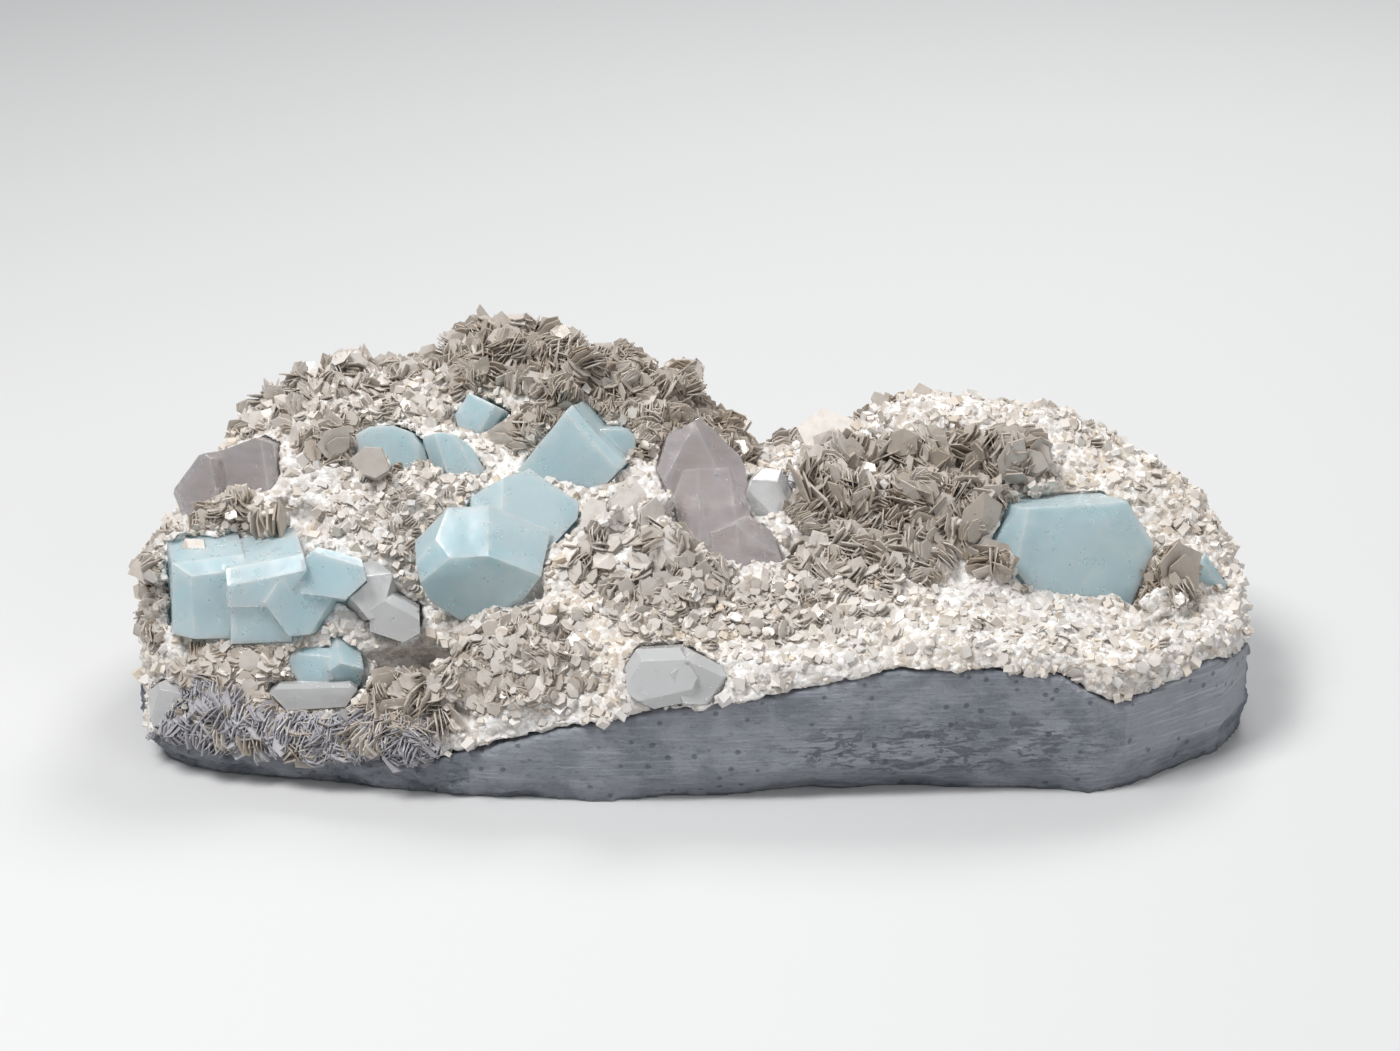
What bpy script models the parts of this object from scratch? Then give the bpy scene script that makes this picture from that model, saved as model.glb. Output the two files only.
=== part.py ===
"""Aquamarine crystals with smoky quartz and mica books on a pale feldspar crust over grey rock.

The specimen rests on its flat sawn bottom. X runs along its length, Y from the front to the back
and Z up. Lengths in the constants below are millimetres.
"""
import math
import random

import bmesh
import bpy
import numpy as np
from mathutils import Matrix, Vector, noise

MM = 0.001
JOINT_GAP = 0.3
SEED = 11
LEAST_KEPT = 0.3

# Plan of the specimen
LEFT_EDGE = [(0.0, -139), (0.15, -147), (0.5, -148), (0.8, -142), (1.0, -128)]
RIGHT_EDGE = [(0.0, 148), (0.2, 149), (0.6, 149), (0.85, 144), (1.0, 131)]
FRONT_EDGE = [
    (-148, -33), (-139, -47), (-128, -54), (-117, -58), (-105, -59), (-93, -62), (-74, -65),
    (-61, -68), (-48, -70), (-12, -71), (18, -70), (53, -68), (94, -66), (109, -65.5), (145, -38.5), (149, -22),
]
BACK_EDGE = [(-148, 36), (-125, 58), (-90, 66), (-30, 68), (20, 62), (70, 67), (115, 62), (150, 40)]
FOOT_INSET = [(-148, 3), (-100, 3), (-60, 1), (-30, 1), (0, 4), (36, 8), (60, 7), (80, 4), (105, 1), (150, 2)]
FOOT_HEIGHT = 5

# Height of the joint between grey rock and pale crust along the front edge, and its rise to the back
JOINT_LINE = [
    (-149, 7), (-125, 9), (-100, 10), (-70, 9), (-54, 14), (-33, 20), (-12, 25), (18, 29),
    (35, 32), (53, 36), (78, 35), (94, 33), (108, 25), (118, 25.5), (135, 29), (145, 25), (150, 24),
]
JOINT_RISE = 0.1

# Points that the top of the crust passes through: x, y, z
LEFT_SHELF = [
    (-134, -46, 18), (-126, -52, 20), (-113, -56, 16), (-92, -61, 17), (-69, -64, 18), (-57, -66, 18),
    (-138, -38, 31), (-127, -45, 27), (-113, -49, 28), (-97, -57, 16), (-89, -53, 19), (-75, -44, 19),
    (-66, -42, 21),
]
FRONT_SHOULDER = [
    (-52, -66, 26), (-56, -55, 34), (-33, -68, 28), (-12, -70, 31), (3, -71, 33), (18, -70, 35),
    (36, -69, 38), (53, -68, 40), (78, -67, 41), (94, -66, 39), (108, -65, 33), (120, -56, 33),
    (135, -45, 35), (144, -37, 31),
]
LEFT_HUMP = [
    (-115, -45, 33), (-88, -38, 41), (-86, -22, 57), (-76, -24, 58), (-104, -24, 47), (-90, -8, 64),
    (-129, -18, 57), (-118, -5, 63), (-119, 5, 69), (-140, -20, 45), (-144, -30, 35), (-106, 20, 76),
    (-79, 20, 77), (-80, 0, 66), (-62, -8, 65), (-57, 14, 74), (-52, 32, 84), (-44, -20, 59),
    (-49, -38, 44), (-30, -6, 64), (-19, 6, 66), (-18, -22, 59), (-19, 36, 77), (0, 6, 69),
]
CENTRE_SLOPE = [
    (-10, -36, 53), (-23, -46, 46), (3, -48, 44), (17, -40, 46), (7, -15, 56), (16, 20, 56),
    (28, -46, 46), (29, -26, 54), (30, 0, 61), (48, -8, 58), (47, -36, 50),
]
RIGHT_HUMP = [
    (70, 6, 62), (69, -20, 52), (67, -45, 46), (97, 10, 60), (113, 30, 61), (103, -22, 40),
    (95, -50, 40), (132, 0, 49), (135, -17, 33), (120, -36, 36), (143, -27, 31), (147, -9, 36),
]
RIDGE = [
    (-146, 0, 42), (-147, -15, 32), (-135, 0, 56), (-141, 12, 45), (-139, 26, 45), (-124, 12, 67),
    (-122, 26, 68), (-112, 30, 76), (-95, 36, 79),
    (-80, 40, 79), (-66, 42, 82), (-54, 42, 88), (-36, 42, 81), (-3, 42, 70), (14, 42, 58),
    (20, 42, 52), (33, 36, 59), (44, 38, 60), (53, 42, 67), (67, 44, 68), (86, 44, 67),
    (103, 44, 64), (117, 42, 58), (131, 38, 50), (142, 30, 43), (148, 10, 40),
]
BACK_SHOULDER = [
    (-134, 38, 46), (-122, 56, 46), (-90, 64, 54), (-60, 66, 60), (-20, 66, 54), (20, 62, 40),
    (60, 64, 46), (100, 62, 44), (135, 50, 30),
]

# Each block of crystal: centre of its end face, the way the end face looks (turn to the right,
# rise), depth, then its sides as (direction around the axis, distance) and its bevels as
# (direction, lean from the end face, distance). Angles are degrees.
LEFT_PRISM = [
    dict(at=(-124, -44, 45), look=(12, 4), depth=24, sides=[(0, 10), (93, 10), (-93, 10.5), (177, 9)],
         bevels=[(93, 50, 7), (180, 40, 4)]),
    dict(at=(-112, -47, 49), look=(12, 4), depth=26,
         sides=[(3, 14), (97, 6), (-93, 4.5), (178, 6.5), (-37, 8.5)], bevels=[(97, 42, 2.5)]),
    dict(at=(-112, -46, 41), look=(12, 2), depth=22, sides=[(0, 9), (90, 6), (-93, 7), (177, 6)], bevels=[]),
    dict(at=(-99, -44, 45), look=(24, 10), depth=20,
         sides=[(20, 10), (80, 8), (140, 9), (-150, 9), (-95, 9), (-40, 9)], bevels=[(80, 45, 5), (-40, 50, 6)]),
    dict(at=(-92, -41, 51), look=(8, 30), depth=18,
         sides=[(10, 8), (70, 6), (130, 8), (-170, 9), (-100, 6), (-50, 7)], bevels=[(70, 40, 4)]),
]
LEFT_QUARTZ = [
    dict(at=(-82, -38, 45), look=(30, 26), depth=18,
         sides=[(20, 7), (85, 8), (150, 6), (-150, 6), (-90, 7), (-30, 7)], bevels=[(85, 50, 4), (-30, 45, 4)]),
    dict(at=(-76, -41, 38), look=(4, 12), depth=16,
         sides=[(0, 6), (60, 5), (120, 6), (180, 7), (-110, 5), (-60, 6)], bevels=[(60, 55, 3)]),
]
LOWER_LEFT_AQUAMARINE = [
    dict(at=(-89, -50, 26.5), look=(12, -18), depth=18,
         sides=[(129, 4), (65, 3.5), (-10, 4.5), (-59, 5.5), (-114, 5.5), (-174, 4)], bevels=[]),
    dict(at=(-98, -48, 28), look=(-10, 24), depth=12,
         sides=[(20, 6), (90, 5), (160, 6), (-140, 5), (-70, 5)], bevels=[(90, 50, 3)]),
]
QUARTZ_LENS = [
    dict(at=(-97, -54, 23), look=(4, 10), depth=14,
         sides=[(126, 7), (90, 2.5), (50, 8), (-34, 9), (-88, 4), (-140, 8)], bevels=[(90, 55, 1.5)]),
]
CRYSTAL_CLUSTER = [
    # Large crystal at the front: a pale upper face over a deep coloured end face
    dict(at=(-54, -40, 47.5), look=(4, -16), depth=13,
         sides=[(141, 16), (92, 18), (48, 20), (-14, 24), (-32, 12), (-55, 10.5), (-100, 12.5), (-132, 12.5),
                (-160, 14), (175, 17)],
         bevels=[(92, 64, 9.5), (135, 50, 12), (62, 66, 9.5)]),
    # Broad body behind it
    dict(at=(-44, -24, 63), look=(10, 38), depth=24,
         sides=[(117, 10), (108, 9), (50, 10), (-10, 15), (-46, 13), (-108, 13), (172, 13)],
         bevels=[(172, 30, 5)]),
    # Upper crystal with its tip to the left
    dict(at=(-31, -6, 68.5), look=(-8, 16), depth=24,
         sides=[(45, 9.5), (-38, 10.5), (-127, 18), (143, 10)], bevels=[(45, 55, 7.5)]),
    dict(at=(-18.3, 5, 66), look=(14, 16), depth=20,
         sides=[(87, 7.5), (41, 6.5), (-1, 4), (-95, 10), (-125, 12), (-176, 12)], bevels=[]),
    # Two rounded crystals on the left
    dict(at=(-62.3, -5, 68), look=(6, 30), depth=22,
         sides=[(96, 8.5), (76, 7.2), (52, 6), (27, 6), (-6, 9), (-80, 14), (-166, 6)],
         bevels=[(30, 40, 3.5), (-166, 50, 3)]),
    dict(at=(-79.6, -1, 67), look=(-6, 24), depth=22,
         sides=[(123, 11), (96, 9.5), (71, 9), (42, 8.5), (20, 9), (-14, 11), (-90, 10), (-168, 8.5)],
         bevels=[(5, 40, 7.5)]),
]
TOP_AQUAMARINE = [
    dict(at=(-57.5, 13, 75.6), look=(-14, 28), depth=18,
         sides=[(154, 5), (70, 4), (-25, 5.5), (-70, 6), (-125, 6.5), (-162, 6)], bevels=[(-25, 40, 3.5)]),
]
HEXAGON = [
    dict(at=(103.4, -24, 48), look=(10, 16), depth=26,
         sides=[(148, 21.5), (90, 14.7), (31, 18.2), (-27, 17), (-88, 15.7), (-146, 16)],
         bevels=[(165, 50, 17.5)]),
]
FAR_RIGHT_AQUAMARINE = [
    dict(at=(137, -13, 38.5), look=(16, 20), depth=12,
         sides=[(113, 4.5), (32, 4.5), (-29, 7.5), (-85, 6), (-150, 5), (170, 5.5)], bevels=[(32, 40, 2.5)]),
]
SMOKY_QUARTZ = [
    # Broken upper part with two tall faces
    dict(at=(3.5, -8, 71), look=(4, 26), depth=22,
         sides=[(119, 9.5), (85, 10.5), (45, 7.5), (24, 9.5), (2, 11.5), (-90, 12), (-160, 12), (163, 10.5)],
         bevels=[(24, 38, 2), (150, 35, 6)]),
    # Lower part, the left flank and the foot on the right
    dict(at=(7, -21, 60), look=(2, 28), depth=24,
         sides=[(-171, 10), (160, 12), (90, 12), (30, 9), (-8, 9), (-60, 15), (-127, 10.5), (-150, 10)],
         bevels=[(180, 35, 4.5), (8, 30, 5)]),
    dict(at=(16, -30, 52), look=(12, 20), depth=18,
         sides=[(52, 8.5), (10, 7.5), (-31, 9), (-70, 10), (-127, 9), (170, 10), (110, 9)],
         bevels=[(180, 28, 3), (52, 35, 4)]),
]
CLEAR_QUARTZ = [
    dict(at=(21.5, -9, 61), look=(14, 30), depth=18,
         sides=[(129, 6), (80, 7), (20, 6.5), (-17, 7), (-84, 12), (-142, 8), (157, 6)],
         bevels=[(20, 45, 3), (-142, 40, 4), (80, 40, 3)]),
]
LEFT_SMOKY_QUARTZ = [
    dict(at=(-131, -9, 62), look=(-24, 14), depth=20,
         sides=[(146, 5.7), (112, 8.5), (62, 9.5), (15, 6), (-40, 9), (-80, 9), (-150, 9)],
         bevels=[(146, 40, 3.5), (-150, 40, 5)]),
    dict(at=(-118.5, -5, 66), look=(-8, 20), depth=22,
         sides=[(157, 8), (113, 7), (70, 9), (11, 8), (-28, 8.5), (-70, 11), (-130, 10), (180, 9.5)],
         bevels=[(11, 40, 5.5), (180, 30, 6)]),
]
FRONT_QUARTZ = [
    dict(at=(-8, -72, 35), look=(-6, 20), depth=20,
         sides=[(149, 9), (95, 8), (35, 9), (-20, 9), (-75, 7), (-120, 7), (-170, 8)],
         bevels=[(95, 40, 5), (-75, 50, 4), (149, 40, 6)]),
    dict(at=(3, -71, 33.5), look=(16, 14), depth=16,
         sides=[(120, 7), (60, 6.5), (10, 7), (-40, 6), (-100, 5), (-160, 6)],
         bevels=[(60, 45, 4), (-40, 50, 4)]),
]
LOW_LEFT_QUARTZ = [
    dict(at=(-135, -47, 17), look=(-18, 22), depth=14,
         sides=[(125, 6.5), (85, 5.5), (35, 6.5), (-36, 6), (-90, 6.5), (-150, 7), (170, 8)],
         bevels=[(85, 40, 3), (-36, 45, 3.5), (170, 40, 4)]),
]

# Name, blocks, material and the pieces already in place that it makes room for
PIECES = [
    ("aquamarine_left_prism", LEFT_PRISM, "aquamarine", []),
    ("quartz_left_lumps", LEFT_QUARTZ, "pale_quartz", [LEFT_PRISM]),
    ("aquamarine_lower_left", LOWER_LEFT_AQUAMARINE, "aquamarine", [LEFT_QUARTZ, LEFT_PRISM]),
    ("quartz_lens", QUARTZ_LENS, "pale_quartz", [LOWER_LEFT_AQUAMARINE, LEFT_PRISM]),
    ("aquamarine_cluster", CRYSTAL_CLUSTER, "aquamarine", []),
    ("aquamarine_top", TOP_AQUAMARINE, "aquamarine", [CRYSTAL_CLUSTER]),
    ("aquamarine_hexagon", HEXAGON, "aquamarine", []),
    ("aquamarine_far_right", FAR_RIGHT_AQUAMARINE, "aquamarine", []),
    ("smoky_quartz_centre", SMOKY_QUARTZ, "smoky_quartz", [CRYSTAL_CLUSTER]),
    ("quartz_clear", CLEAR_QUARTZ, "pale_quartz", [SMOKY_QUARTZ]),
    ("smoky_quartz_left", LEFT_SMOKY_QUARTZ, "smoky_quartz", [LEFT_PRISM]),
    ("quartz_front_lump", FRONT_QUARTZ, "pale_quartz", []),
    ("quartz_low_left", LOW_LEFT_QUARTZ, "pale_quartz", []),
]

# Mica books: centre x and y, reach in x and y, how many, radius from and to, lean of the leaves
# from lying flat (degrees), and the direction their flat faces look (degrees in plan, None = any)
MICA_ZONES = [
    ("left ridge", -92, 33, 36, 10, 9, 2.5, 4.5, (50, 85), None),
    ("high ridge", -52, 38, 16, 10, 10, 3.5, 6.0, (60, 90), None),
    ("ridge to the valley", -15, 34, 26, 12, 14, 3.5, 6.0, (60, 90), None),
    ("right of the centre", 46, 6, 16, 20, 9, 4.0, 7.0, (55, 88), None),
    ("above the hexagon", 78, 6, 20, 16, 12, 3.5, 6.5, (50, 88), None),
    ("beside the hexagon", 72, -20, 10, 14, 7, 4.0, 7.0, (40, 80), None),
    ("lower left shelf", -100, -54, 40, 4, 12, 4.0, 7.0, (50, 85), -90),
    ("left end", -135, -32, 6, 12, 6, 3.5, 5.5, (20, 60), None),
    ("under the front crystal", -50, -56, 18, 6, 8, 3.5, 5.5, (30, 70), None),
    ("centre fan", -15, -24, 9, 8, 4, 4.5, 7.0, (45, 80), None),
]
# Books and plates that stand out one by one: x, y, z, radius, aspect, thickness, lean, facing, spin
SINGLE_BOOKS = [
    (39, 33, 58, 9.0, 0.6, 3.0, 36, -100, 10),
    (-17, -23, 63, 7.0, 0.9, 1.8, 62, -80, 5),
    (-10, -25, 61, 6.0, 1.0, 1.6, 70, -50, 20),
    (-24, -24, 60, 6.0, 0.8, 1.8, 55, -120, 40),
    (-92, 35, 82, 3.8, 1.0, 1.5, 75, -85, 0),
    (-83, -10, 69, 4.5, 0.8, 3.0, 60, -100, 15),
    (-95, 2, 71, 5.0, 0.7, 2.0, 80, -60, 30),
    (33, -8, 62, 8.0, 0.7, 2.0, 84, 20, 0),
    (38, -10, 60, 8.0, 0.6, 1.6, 80, 35, 20),
    (43, -10, 59, 7.0, 0.7, 1.6, 78, 10, 40),
    (76, -16, 57, 8.0, 1.0, 2.2, 70, -70, 15),
    (85, 4, 66, 6.5, 1.0, 1.4, 82, -60, 25),
    (92, 6, 65, 6.0, 0.9, 1.4, 80, -100, 45),
    (127, -20, 42, 9.0, 0.7, 4.0, 75, -60, 10),
    (121, -33, 39, 4.5, 1.0, 4.5, 50, -80, 20),
    (127, -31, 38, 5.0, 0.8, 4.0, 60, -60, 0),
    (-5, -35, 55, 6.5, 0.8, 5.0, 65, -80, 15),
    (-12, -36, 54, 4.5, 0.9, 4.0, 50, -110, 35),
    (-56, -62, 29, 6.5, 0.9, 1.8, 80, -80, 10),
    (-62, -58, 27, 6.0, 0.8, 1.8, 75, -110, 30),
    (-76, -57, 23, 8.0, 0.8, 1.6, 84, -20, 15),
    (-71, -57, 22, 7.0, 0.8, 1.6, 82, -30, 35),
    (-129, -29, 49, 5.0, 0.8, 1.6, 35, -100, 10),
    (-110, -20, 57, 6.0, 0.9, 1.8, 80, -10, 20),
]
BOOK_ASPECT = (0.75, 1.15)
BOOK_THICKNESS = (1.2, 2.2)
BOOK_CLEARANCE = 9

COLOURS = {
    "grey_rock": (0.16, 0.18, 0.21, 0.85),
    "pale_feldspar": (0.68, 0.64, 0.58, 0.8),
    "aquamarine": (0.45, 0.68, 0.74, 0.25),
    "smoky_quartz": (0.48, 0.42, 0.42, 0.2),
    "pale_quartz": (0.62, 0.66, 0.66, 0.25),
}


def along(knots, x):
    """Straight-line interpolation through (position, value) knots."""
    positions, values = zip(*knots)
    return float(np.interp(x, positions, values))


def thin_plate(points):
    """Smooth height over the plan through every given (x, y, z) point."""
    data = np.array(points, float)
    plan, height = data[:, :2], data[:, 2]

    def kernel(distance):
        safe = np.maximum(distance, 1e-6)
        return safe * safe * np.log(safe)

    count = len(data)
    apart = np.linalg.norm(plan[:, None] - plan[None], axis=2)
    flat = np.column_stack([np.ones(count), plan])
    system = np.block([[kernel(apart) + 4.0 * np.eye(count), flat], [flat.T, np.zeros((3, 3))]])
    weights = np.linalg.solve(system, np.concatenate([height, np.zeros(3)]))

    def surface(x, y):
        pull = kernel(np.hypot(plan[:, 0] - x, plan[:, 1] - y))
        return float(weights[:count] @ pull + weights[count:] @ (1.0, x, y))

    return surface


CRUST_TOP = thin_plate(
    LEFT_SHELF + FRONT_SHOULDER + LEFT_HUMP + CENTRE_SLOPE + RIGHT_HUMP + RIDGE + BACK_SHOULDER
)


def joint_height(x, y):
    """Height of the joint plane strips at a plan point."""
    positions = [p for p, _ in JOINT_LINE]
    bases = [z - JOINT_RISE * along(FRONT_EDGE, p) for p, z in JOINT_LINE]
    return float(np.interp(x, positions, bases)) + JOINT_RISE * y


def plan_point(s, t, inset):
    """Plan point at fraction s from left to right and t from front to back, drawn in by inset."""
    x = (1 - s) * along(LEFT_EDGE, t) + s * along(RIGHT_EDGE, t)
    y = (1 - t) * along(FRONT_EDGE, x) + t * along(BACK_EDGE, x)
    return x - inset * (2 * s - 1) * abs(2 * s - 1) ** 3, y - inset * (2 * t - 1) * abs(2 * t - 1) ** 3


def lumps(point, size, seed):
    """Rounded noise between -1 and 1 with lumps of about the given size."""
    return noise.noise(Vector(point) / size + Vector((seed, 2.3 * seed, 0.7 * seed)))


def gridded_cube(columns, rows, levels):
    """Unit cube from 0 to 1 cut into columns, rows and levels."""
    bm = bmesh.new()
    bmesh.ops.create_cube(bm, size=1.0, matrix=Matrix.Translation((0.5, 0.5, 0.5)))
    for axis, count in enumerate((columns, rows, levels)):
        for i in range(1, count):
            at = Vector((0, 0, 0))
            at[axis] = i / count
            across = Vector((0, 0, 0))
            across[axis] = 1
            everything = bm.verts[:] + bm.edges[:] + bm.faces[:]
            bmesh.ops.bisect_plane(bm, geom=everything, plane_co=at, plane_no=across, dist=1e-6)
    return bm


def outward(s, t):
    """Direction in plan that a side of the specimen looks, zero inside."""
    x = (s > 0.999) * 1.0 - (s < 0.001) * 1.0
    y = (t > 0.999) * 1.0 - (t < 0.001) * 1.0
    return Vector((x, y, 0))


def crust_body():
    """Pale crust as a cube drawn over the plan, with a lumpy top and lumpy sides."""
    bm = gridded_cube(40, 20, 2)
    for vert in bm.verts:
        s, t, h = vert.co
        x, y = plan_point(s, t, 0)
        low = joint_height(x, y) - 4
        top = max(CRUST_TOP(x, y), low + 9)
        place = Vector((x, y, low + h * (top - low)))
        side = outward(s, t)
        swell = 2.2 * lumps(place, 15, SEED) + 1.3 * lumps(place, 6, SEED + 4)
        ledge = 1.1 * math.sin(place.z * 0.9 + 3 * lumps(place, 22, SEED + 8))
        if h > 0.999:
            rim = 0.4 if side.length else 1.0
            place.z += rim * swell + 0.8 * abs(lumps(place, 4, SEED + 6))
        if side.length:
            round_in = -2.5 * h * h
            place += side.normalized() * (0.8 * swell + ledge + round_in + 1.0)
        vert.co = place * MM
    return bm


def rock_body():
    """Grey rock: flat bottom, cleanly broken front and right faces, rough back."""
    bm = gridded_cube(32, 10, 4)
    for vert in bm.verts:
        s, t, h = vert.co
        x, y = plan_point(s, t, 0)
        high = joint_height(x, y) + 4
        place = Vector((x, y, h * high))
        side = outward(s, t)
        if side.length:
            rough = 2.0 if t > 0.5 or s < 0.02 else 0.35
            place += side.normalized() * rough * (lumps(place, 14, SEED + 1) + 0.6 * lumps(place, 5, SEED + 2))
            foot = max(0.0, 1 - place.z / FOOT_HEIGHT)
            chips = 3.0 * lumps((x, y, 0), 17, SEED + 3) + 1.5 * lumps((x, y, 0), 5, SEED + 5)
            place -= side.normalized() * foot * max(0.5, along(FOOT_INSET, x) + chips)
        vert.co = place * MM
    return bm


def joint_slab(above):
    """Everything above or below the joint between rock and crust, half a gap away from it."""
    reach = 120
    bm = gridded_cube(len(JOINT_LINE) - 1, 1, 1)
    for vert in bm.verts:
        column = round(vert.co.x * (len(JOINT_LINE) - 1))
        x = JOINT_LINE[column][0] + (-15 if column == 0 else 15 if column == len(JOINT_LINE) - 1 else 0)
        y = reach if vert.co.y > 0.5 else -reach
        joint = joint_height(JOINT_LINE[column][0], y) + (JOINT_GAP / 2 if above else -JOINT_GAP / 2)
        far = 200 if above else -50
        place_on_joint = (vert.co.z < 0.5) == above
        vert.co = Vector((x, y, joint if place_on_joint else far)) * MM
    return bm


def look_frame(look):
    """Axis pointing out of an end face, with its right and up directions."""
    turn, rise = (math.radians(v) for v in look)
    axis = Vector((math.sin(turn) * math.cos(rise), -math.cos(turn) * math.cos(rise), math.sin(rise)))
    up = (Vector((0, 0, 1)) - axis * axis.z).normalized()
    return axis, up.cross(axis), up


def crystal_block(spec, grow=0.0):
    """Block cut from a cube by the planes of one crystal, every plane moved out by grow."""
    axis, right, up = look_frame(spec["look"])
    centre = Vector(spec["at"])
    planes = [(centre, axis), (centre - axis * spec["depth"], -axis)]
    for direction, distance in spec["sides"]:
        angle = math.radians(direction)
        normal = right * math.cos(angle) + up * math.sin(angle)
        planes.append((centre + normal * distance, normal))
    for direction, lean, distance in spec["bevels"]:
        angle, tilt = math.radians(direction), math.radians(lean)
        radial = right * math.cos(angle) + up * math.sin(angle)
        planes.append((centre + radial * distance, radial * math.sin(tilt) + axis * math.cos(tilt)))
    bm = bmesh.new()
    bmesh.ops.create_cube(bm, size=200 * MM, matrix=Matrix.Translation(centre * MM))
    for point, normal in planes:
        everything = bm.verts[:] + bm.edges[:] + bm.faces[:]
        cut = bmesh.ops.bisect_plane(
            bm, geom=everything, plane_co=(point + normal * grow) * MM, plane_no=normal,
            clear_outer=True, dist=1e-7,
        )
        rim = [e for e in cut["geom_cut"] if isinstance(e, bmesh.types.BMEdge)]
        if rim:
            bmesh.ops.edgenet_fill(bm, edges=rim)
    bmesh.ops.recalc_face_normals(bm, faces=bm.faces[:])
    return bm


def mica_book(radius, aspect, thickness, place, lean, facing, spin):
    """Six-sided leaf book leaning from flat, its flat face looking in the given plan direction."""
    bm = bmesh.new()
    bmesh.ops.create_cone(
        bm, cap_ends=True, segments=6, radius1=radius * MM, radius2=radius * 0.96 * MM, depth=thickness * MM
    )
    shape = Matrix.Diagonal((1.0, aspect, 1.0, 1.0))
    turn = Matrix.Rotation(math.radians(facing), 4, "Z") @ Matrix.Rotation(math.radians(lean), 4, "Y")
    bm.transform(
        Matrix.Translation(Vector(place) * MM) @ turn @ Matrix.Rotation(math.radians(spin), 4, "Z") @ shape
    )
    return bm


def new_collection(name):
    found = bpy.data.collections.new(name)
    bpy.context.scene.collection.children.link(found)
    return found


def new_object(name, bm, collection, cutter=False):
    mesh = bpy.data.meshes.new(name)
    bm.to_mesh(mesh)
    bm.free()
    made = bpy.data.objects.new(name, mesh)
    collection.objects.link(made)
    if cutter:
        made.hide_render = True
        made.display_type = "WIRE"
    return made


def solid_volume(mesh):
    """Volume inside the mesh, or zero where some edge doesn't join exactly two faces."""
    bm = bmesh.new()
    bm.from_mesh(mesh)
    closed = all(len(edge.link_faces) == 2 for edge in bm.edges)
    volume = bm.calc_volume() if closed else 0.0
    bm.free()
    return volume


def boolean(target, operation, other):
    """Exact Boolean made permanent; returns False and changes nothing where the result isn't sound."""
    step = target.modifiers.new(operation.lower(), "BOOLEAN")
    step.operation = operation
    step.solver = "EXACT"
    step.object = other
    graph = bpy.context.evaluated_depsgraph_get()
    result = bpy.data.meshes.new_from_object(target.evaluated_get(graph))
    target.modifiers.clear()
    sound = solid_volume(result) > LEAST_KEPT * solid_volume(target.data)
    if sound:
        target.data = result
    return sound


def make_room(target, specs, cutters):
    """Cuts the sockets of the given crystal blocks, each a joint gap wider than its block."""
    for i, spec in enumerate(specs):
        for grow in (JOINT_GAP, JOINT_GAP + 0.03, JOINT_GAP + 0.06):
            room = new_object(f"{target.name} room {i}", crystal_block(spec, grow), cutters, cutter=True)
            if boolean(target, "DIFFERENCE", room):
                break


def keep_main_body(target):
    """Drops crumbs that a cut has left apart from the main body."""
    bm = bmesh.new()
    bm.from_mesh(target.data)
    left = set(bm.faces)
    bodies = []
    while left:
        start = left.pop()
        body, waiting = [start], [start]
        while waiting:
            for edge in waiting.pop().edges:
                for face in edge.link_faces:
                    if face in left:
                        left.remove(face)
                        body.append(face)
                        waiting.append(face)
        bodies.append(body)
    bodies.sort(key=len)
    crumbs = [face for body in bodies[:-1] for face in body]
    bmesh.ops.delete(bm, geom=crumbs, context="FACES")
    bm.to_mesh(target.data)
    bm.free()


def give_material(target, kind):
    red, green, blue, roughness = COLOURS[kind]
    made = bpy.data.materials.new(f"{target.name}_{kind}")
    made.use_nodes = True
    shader = made.node_tree.nodes["Principled BSDF"]
    shader.inputs["Base Color"].default_value = (red, green, blue, 1)
    shader.inputs["Roughness"].default_value = roughness
    if kind in ("aquamarine", "smoky_quartz", "pale_quartz"):
        shader.inputs["Transmission Weight"].default_value = 0.6
        shader.inputs["IOR"].default_value = 1.57 if kind == "aquamarine" else 1.55
    target.data.materials.clear()
    target.data.materials.append(made)


def scatter_books(collection):
    """Mica books standing on the crust zone by zone, clear of the crystals."""
    for i, (x, y, z, radius, aspect, thickness, lean, facing, spin) in enumerate(SINGLE_BOOKS):
        bm = mica_book(radius, aspect, thickness, (x, y, z), lean, facing, spin)
        new_object(f"single book {i}", bm, collection, cutter=True)
    pick = random.Random(SEED)
    blocks = [spec for _, specs, _, _ in PIECES for spec in specs]
    for name, cx, cy, reach_x, reach_y, count, small, large, lean, facing in MICA_ZONES:
        placed = 0
        for _ in range(count * 6):
            if placed == count:
                break
            x = cx + reach_x * pick.uniform(-1, 1)
            y = cy + reach_y * pick.uniform(-1, 1)
            radius = pick.uniform(small, large)
            aspect = pick.uniform(*BOOK_ASPECT)
            thickness = pick.uniform(*BOOK_THICKNESS)
            tilt = pick.uniform(*lean)
            turn = pick.uniform(0, 360) if facing is None else facing + pick.uniform(-50, 50)
            spin = pick.uniform(0, 60)
            z = CRUST_TOP(x, y)
            near = min(
                math.dist((x, y), spec["at"][:2]) - 0.6 * max(d for _, d in spec["sides"]) for spec in blocks
            )
            if near < BOOK_CLEARANCE - 4:
                continue
            rise = radius * (0.1 + 0.35 * math.sin(math.radians(tilt)))
            bm = mica_book(radius, aspect, thickness, (x, y, z + rise), tilt, turn, spin)
            new_object(f"{name} book {placed}", bm, collection, cutter=True)
            placed += 1


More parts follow.
